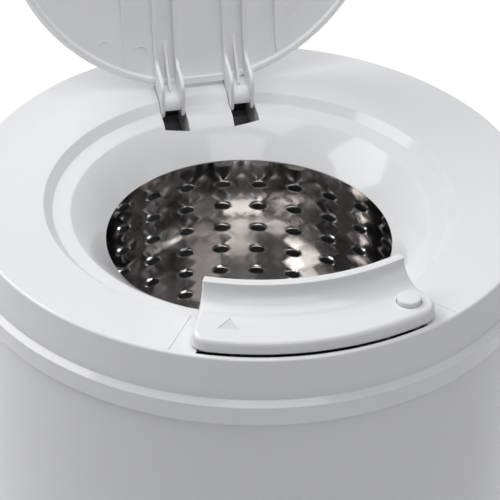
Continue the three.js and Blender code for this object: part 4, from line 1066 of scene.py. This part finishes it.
def plain_edges(mantle, sizes, inner):
    """Plain sheet over and under the rows of holes, out to the CAD mantle's ends."""
    low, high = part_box("drum_mantle")
    top = STEP_Z - FIRST_ROW * MM + sizes.row_pitch / 2
    wider = sizes.radius / inner
    for edge, end in ((top, high.z), (top - sizes.rows * sizes.row_pitch, low.z)):
        pick(mantle, "VERT", lambda v: abs(v.co.z - edge) < 0.01 * MM
             and math.hypot(v.co.x, v.co.y) < inner + 0.5 * MM)
        raise_edges(end - edge)
        raise_edges(0.0)
        bpy.ops.transform.resize(value=(wider, wider, 1.0), center_override=(0, 0, end))
        raise_edges(edge - end)
    close_up(mantle)


def rolled_rim(sizes):
    """The mouth's rim, drawn in from the mantle, with a bead rolled round its edge."""
    low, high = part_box("drum_rim")
    edge, rise = sizes.radius / MM, (high.z - low.z) / MM
    mouth, bead, depth = edge - 23.2, edge - 20.6, rise - 3.2
    line = [(edge - 1.0, 0.0), (edge, 0.0), (edge - 2.0, 0.55 * rise), (edge - 9.0, rise),
            (mouth, rise), (mouth, depth), (bead, depth), (bead, rise - 1.0),
            (edge - 9.6, rise - 1.0), (edge - 3.0, 0.5 * rise)]
    fillets = {2: 6.0, 3: 4.0, 4: 1.2, 5: 0.9, 6: 0.9, 8: 3.4, 9: 5.4}
    rim = turn("rim", line, fillets, base=low.z)
    complete(rim, "rolled_rim", "drum", "stainless", "drum_rim")


def pressed_floor(inner):
    """The pressed floor, with its crown round the shaft and a ring bead."""
    low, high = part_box("drum_floor")
    edge, rise, sheet = inner / MM - 0.3, (high.z - low.z) / MM, 1.5
    over = [(edge, 0.0), (80.0, 0.0), (76.0, 3.0), (66.0, 3.0), (62.0, 0.0), (40.0, 0.0),
            (24.0, rise - 2 * sheet), (10.0, rise - sheet)]
    under = [(radius - 0.3, height + sheet) for radius, height in reversed(over[1:])]
    fillets = {1: 3.0, 2: 2.0, 3: 2.0, 4: 3.0, 5: 8.0, 6: 4.0,
               9: 4.0, 10: 8.0, 11: 3.0, 12: 2.0, 13: 2.0, 14: 3.0}
    floor = turn("floor", over + under + [(edge, sheet)], fillets, base=low.z)
    complete(floor, "pressed_floor", "drum", "stainless", "drum_floor")


class DRYER_OT_drum(bpy.types.Operator):
    """Model the perforated mantle from one cell, with the floor and the rolled rim"""
    bl_idname = "mesh.dryer_drum"
    bl_label = "Drum"

    def execute(self, context):
        sizes = context.scene.dryer_drum
        inner = sizes.radius - DRUM_SHEET * MM
        mantle = flat_mantle(sizes, 2 * math.pi * inner / sizes.columns)
        modify(mantle, "SIMPLE_DEFORM", deform_method="BEND", deform_axis="Z",
               angle=-2 * math.pi)
        pick_all(mantle)
        bpy.ops.transform.translate(value=(0.0, inner, 0.0))
        close_up(mantle)
        plain_edges(mantle, sizes, inner)
        complete(mantle, "perforated_mantle", "drum", "stainless", "drum_mantle",
                 finish=perforated("perforated_sheet", tuple(context.scene.dryer_colours.drum)),
                 degrees=50)
        rolled_rim(sizes)
        pressed_floor(inner)
        return {"FINISHED"}


# ---- casing and base

def casing_tube(spout_z, inlet_z):
    """The rolled sheet with its holes for the spout and the inlet."""
    low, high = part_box("outer_casing")
    sheet = section(CASING_RADIUS - CASING_SHEET, CASING_RADIUS, 0.0, (high.z - low.z) / MM)
    casing = turn("casing", sheet, base=low.z)
    for radius, near, far, z in ((12.8, -180, -150, spout_z), (9.3, 150, 180, inlet_z)):
        cut(casing, turn_level("hole", section(0.01, radius, near, far), z, 48))
    complete(casing, "casing", "housing", "casing_paint", "outer_casing")


def base_pan():
    """The base pan, whose upright edge goes round the casing's foot."""
    low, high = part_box("base_pan")
    outer, seat, floor, sheet, top = 170.1, 162.6, 6.0, 3.0, 26.0
    inner = outer - sheet
    line = [(0.0, floor), (153.0, floor), (outer, 0.0), (outer, top), (inner, top),
            (inner, 12.0), (seat, 12.0), (seat, floor + sheet), (0.0, floor + sheet)]
    pan = turn("pan", line, {2: 1.0, 3: 1.0}, base=low.z)
    complete(pan, "base", "housing", "black_plastic", "base_pan")


def rubber_foot(side):
    """A tapered rubber foot, whose plug holds it in the base."""
    low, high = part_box("foot_" + side)
    centre = ((low.x + high.x) / 2, (low.y + high.y) / 2)
    plug, seat, top = 5.0, 23.7, 33.0
    line = [(0.0, 0.0), (17.0, 0.0), (18.0, 3.0), (14.0, seat), (plug, seat), (plug, top),
            (0.0, top)]
    foot = turn("foot", line, {1: 1.2, 2: 1.5, 3: 0.5}, base=0.0, centre=centre, steps=64)
    complete(foot, "rubber_foot_" + side, "housing", "rubber", "foot_" + side)


def water_spout(z):
    """The water spout, with the flange that seats on the casing."""
    low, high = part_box("water_spout")
    bore, outer, flange = 9.5, 12.0, 21.0
    tip, end, face, seat = low.y / MM, high.y / MM, -169.9, -166.9
    line = [(bore, tip), (outer, tip), (outer, face), (flange, face), (flange, seat),
            (outer, seat), (outer, end), (bore, end)]
    spout = turn_level("spout", line, z, 64, {0: 0.5, 1: 0.8, 3: 1.0})
    complete(spout, "spout", "housing", "cover_white", "water_spout")


def inlet_bush(z):
    """The bush for a mains cord, with a nut inside and a collar outside."""
    bore, barrel, nut, collar = 4.2, 9.0, 12.0, 13.0
    line = [(bore, 154.6), (barrel, 154.6), (barrel, 157.6), (nut, 157.6), (nut, 160.8),
            (barrel, 160.8), (barrel, 166.9), (collar, 166.9), (collar, 170.9),
            (barrel, 171.4), (bore, 171.4)]
    inlet = turn_level("inlet", line, z, 48, {7: 0.4, 8: 1.0, 10: 0.8})
    complete(inlet, "inlet_bush", "housing", "black_plastic", "mains_inlet")


class DRYER_OT_casing(bpy.types.Operator):
    """Model the painted casing, the base with its feet, the spout and the mains inlet"""
    bl_idname = "mesh.dryer_casing"
    bl_label = "Casing and base"

    def execute(self, context):
        spout_z, inlet_z = (sum(corner.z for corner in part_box(node)) / 2
                            for node in ("water_spout", "mains_inlet"))
        casing_tube(spout_z, inlet_z)
        base_pan()
        for side in ("rear", "left", "right"):
            rubber_foot(side)
        water_spout(spout_z)
        inlet_bush(inlet_z)
        return {"FINISHED"}


class DRYER_OT_machinery(bpy.types.Operator):
    """Give the motor, drive, tub and electrical pieces their finishes"""
    bl_idname = "mesh.dryer_machinery"
    bl_label = "Machinery finishes"

    def execute(self, context):
        slots = {part["node"]: part["material_slot"] for part in frame["record"]["subparts"]}
        for name, node in frame["nodes"].items():
            finish = slot_finish(slots[name])
            node.data.materials.clear()
            node.data.materials.append(finish)
        return {"FINISHED"}


# ---- stage

AIM = (0.0, 0.0, 0.5)
SOFTBOXES = (  # name, place, aim, width, height and watts
    ("key", (-1.45, 1.13, 2.34), AIM, 2.8, 1.3, 46.5),
    ("front", (0.0, -1.6, 2.55), AIM, 1.3, 1.3, 11.0),
    ("top", (0.0, 0.01, 3.1), AIM, 1.8, 1.8, 25.0),
    ("fill", (1.99, -1.15, 1.72), AIM, 1.3, 1.3, 3.8),
    ("backdrop", (0.35, 1.5, 0.95), (0.35, 1.51, 0.0), 2.4, 1.2, 8.4),
)


def set_camera(scene):
    """A long lens from the front left and above, rolled a little."""
    azimuth, elevation, roll = (math.radians(angle) for angle in (-14.3, 34.42, 1.59))
    distance, sensor, picture_pixels, focal_pixels = 2.221, 36.0, 500.0, 3736.4
    away = Vector((math.sin(azimuth) * math.cos(elevation),
                   -math.cos(azimuth) * math.cos(elevation), math.sin(elevation)))
    right = Vector((math.cos(azimuth), math.sin(azimuth), 0.0))
    target = Vector((0.0, 0.0, STEP_Z - 34.7 * MM)) + right * 0.67 * MM
    data = bpy.data.cameras.new("camera")
    data.sensor_width = sensor
    data.lens = focal_pixels * sensor / picture_pixels
    data.clip_end = 50.0
    camera = bpy.data.objects.new("camera", data)
    scene.collection.objects.link(camera)
    camera.location = target + away * distance
    camera.rotation_mode = "QUATERNION"
    level = (-away).to_track_quat("-Z", "Y")
    camera.rotation_quaternion = level @ Quaternion((0.0, 0.0, 1.0), roll)
    scene.camera = camera


def set_world(scene):
    world = bpy.data.worlds.new("studio")
    world.use_nodes = True
    background = world.node_tree.nodes["Background"]
    background.inputs["Color"].default_value = (0.97, 0.98, 1.0, 1.0)
    background.inputs["Strength"].default_value = 0.15
    scene.world = world


def lay_floor(scene):
    activate(None)
    bpy.ops.mesh.primitive_plane_add(size=14.0, location=(0.0, 1.0, 0.0))
    floor = bpy.context.active_object
    floor.name = "studio_floor"
    finish = Finish("floor_paper", Roughness=0.9)
    cloud = finish.noise(1.5, 2.0)
    tone = tuple(scene.dryer_colours.floor)
    finish.set("Base Color", finish.shades(cloud, tone, 0.99))
    floor.data.materials.append(finish.material)


def hang_softbox(scene, name, place, aim, width, height, watts):
    light = bpy.data.lights.new(name, "AREA")
    light.shape = "RECTANGLE"
    light.size, light.size_y, light.energy = width, height, watts
    lamp = bpy.data.objects.new(name, light)
    scene.collection.objects.link(lamp)
    lamp.location = place
    lamp.rotation_mode = "QUATERNION"
    lamp.rotation_quaternion = (Vector(place) - Vector(aim)).to_track_quat("Z", "Y")


class DRYER_OT_stage(bpy.types.Operator):
    """Set the camera, the pale floor and the soft studio light"""
    bl_idname = "scene.dryer_stage"
    bl_label = "Studio"

    def execute(self, context):
        scene = context.scene
        scene.view_settings.view_transform = "Standard"
        scene.view_settings.look = "None"
        set_camera(scene)
        set_world(scene)
        lay_floor(scene)
        for softbox in SOFTBOXES:
            hang_softbox(scene, *softbox)
        return {"FINISHED"}


# ---- the add-on

class DRYER_PT_panel(bpy.types.Panel):
    """The dryer's pieces, sizes and colours"""
    bl_idname = "DRYER_PT_panel"
    bl_label = "Spin dryer"
    bl_space_type = "VIEW_3D"
    bl_region_type = "UI"
    bl_category = "Spin dryer"

    def draw(self, context):
        for group_name in PROPERTY_GROUPS:
            box = self.layout.box()
            group = getattr(context.scene, group_name)
            for item in own_values(group):
                box.prop(group, item.identifier)
        for operator in OPERATORS:
            self.layout.operator(operator.bl_idname)


PROPERTY_GROUPS = {
    "dryer_cover": CoverSizes,
    "dryer_lid": LidSizes,
    "dryer_lever": LeverSizes,
    "dryer_drum": DrumSizes,
    "dryer_colours": DryerColours,
}
OPERATORS = (DRYER_OT_stage, DRYER_OT_machinery, DRYER_OT_cover, DRYER_OT_lid,
             DRYER_OT_lever, DRYER_OT_button, DRYER_OT_drum, DRYER_OT_casing)


def register():
    for name, group in PROPERTY_GROUPS.items():
        bpy.utils.register_class(group)
        setattr(bpy.types.Scene, name, PointerProperty(type=group))
    for cls in (*OPERATORS, DRYER_PT_panel):
        bpy.utils.register_class(cls)


def unregister():
    for cls in reversed((*OPERATORS, DRYER_PT_panel)):
        bpy.utils.unregister_class(cls)
    for name, group in PROPERTY_GROUPS.items():
        delattr(bpy.types.Scene, name)
        bpy.utils.unregister_class(group)


def main():
    register()
    for operator in OPERATORS:
        category, name = operator.bl_idname.split(".")
        getattr(getattr(bpy.ops, category), name)()


if __name__ == "__main__":
    main()
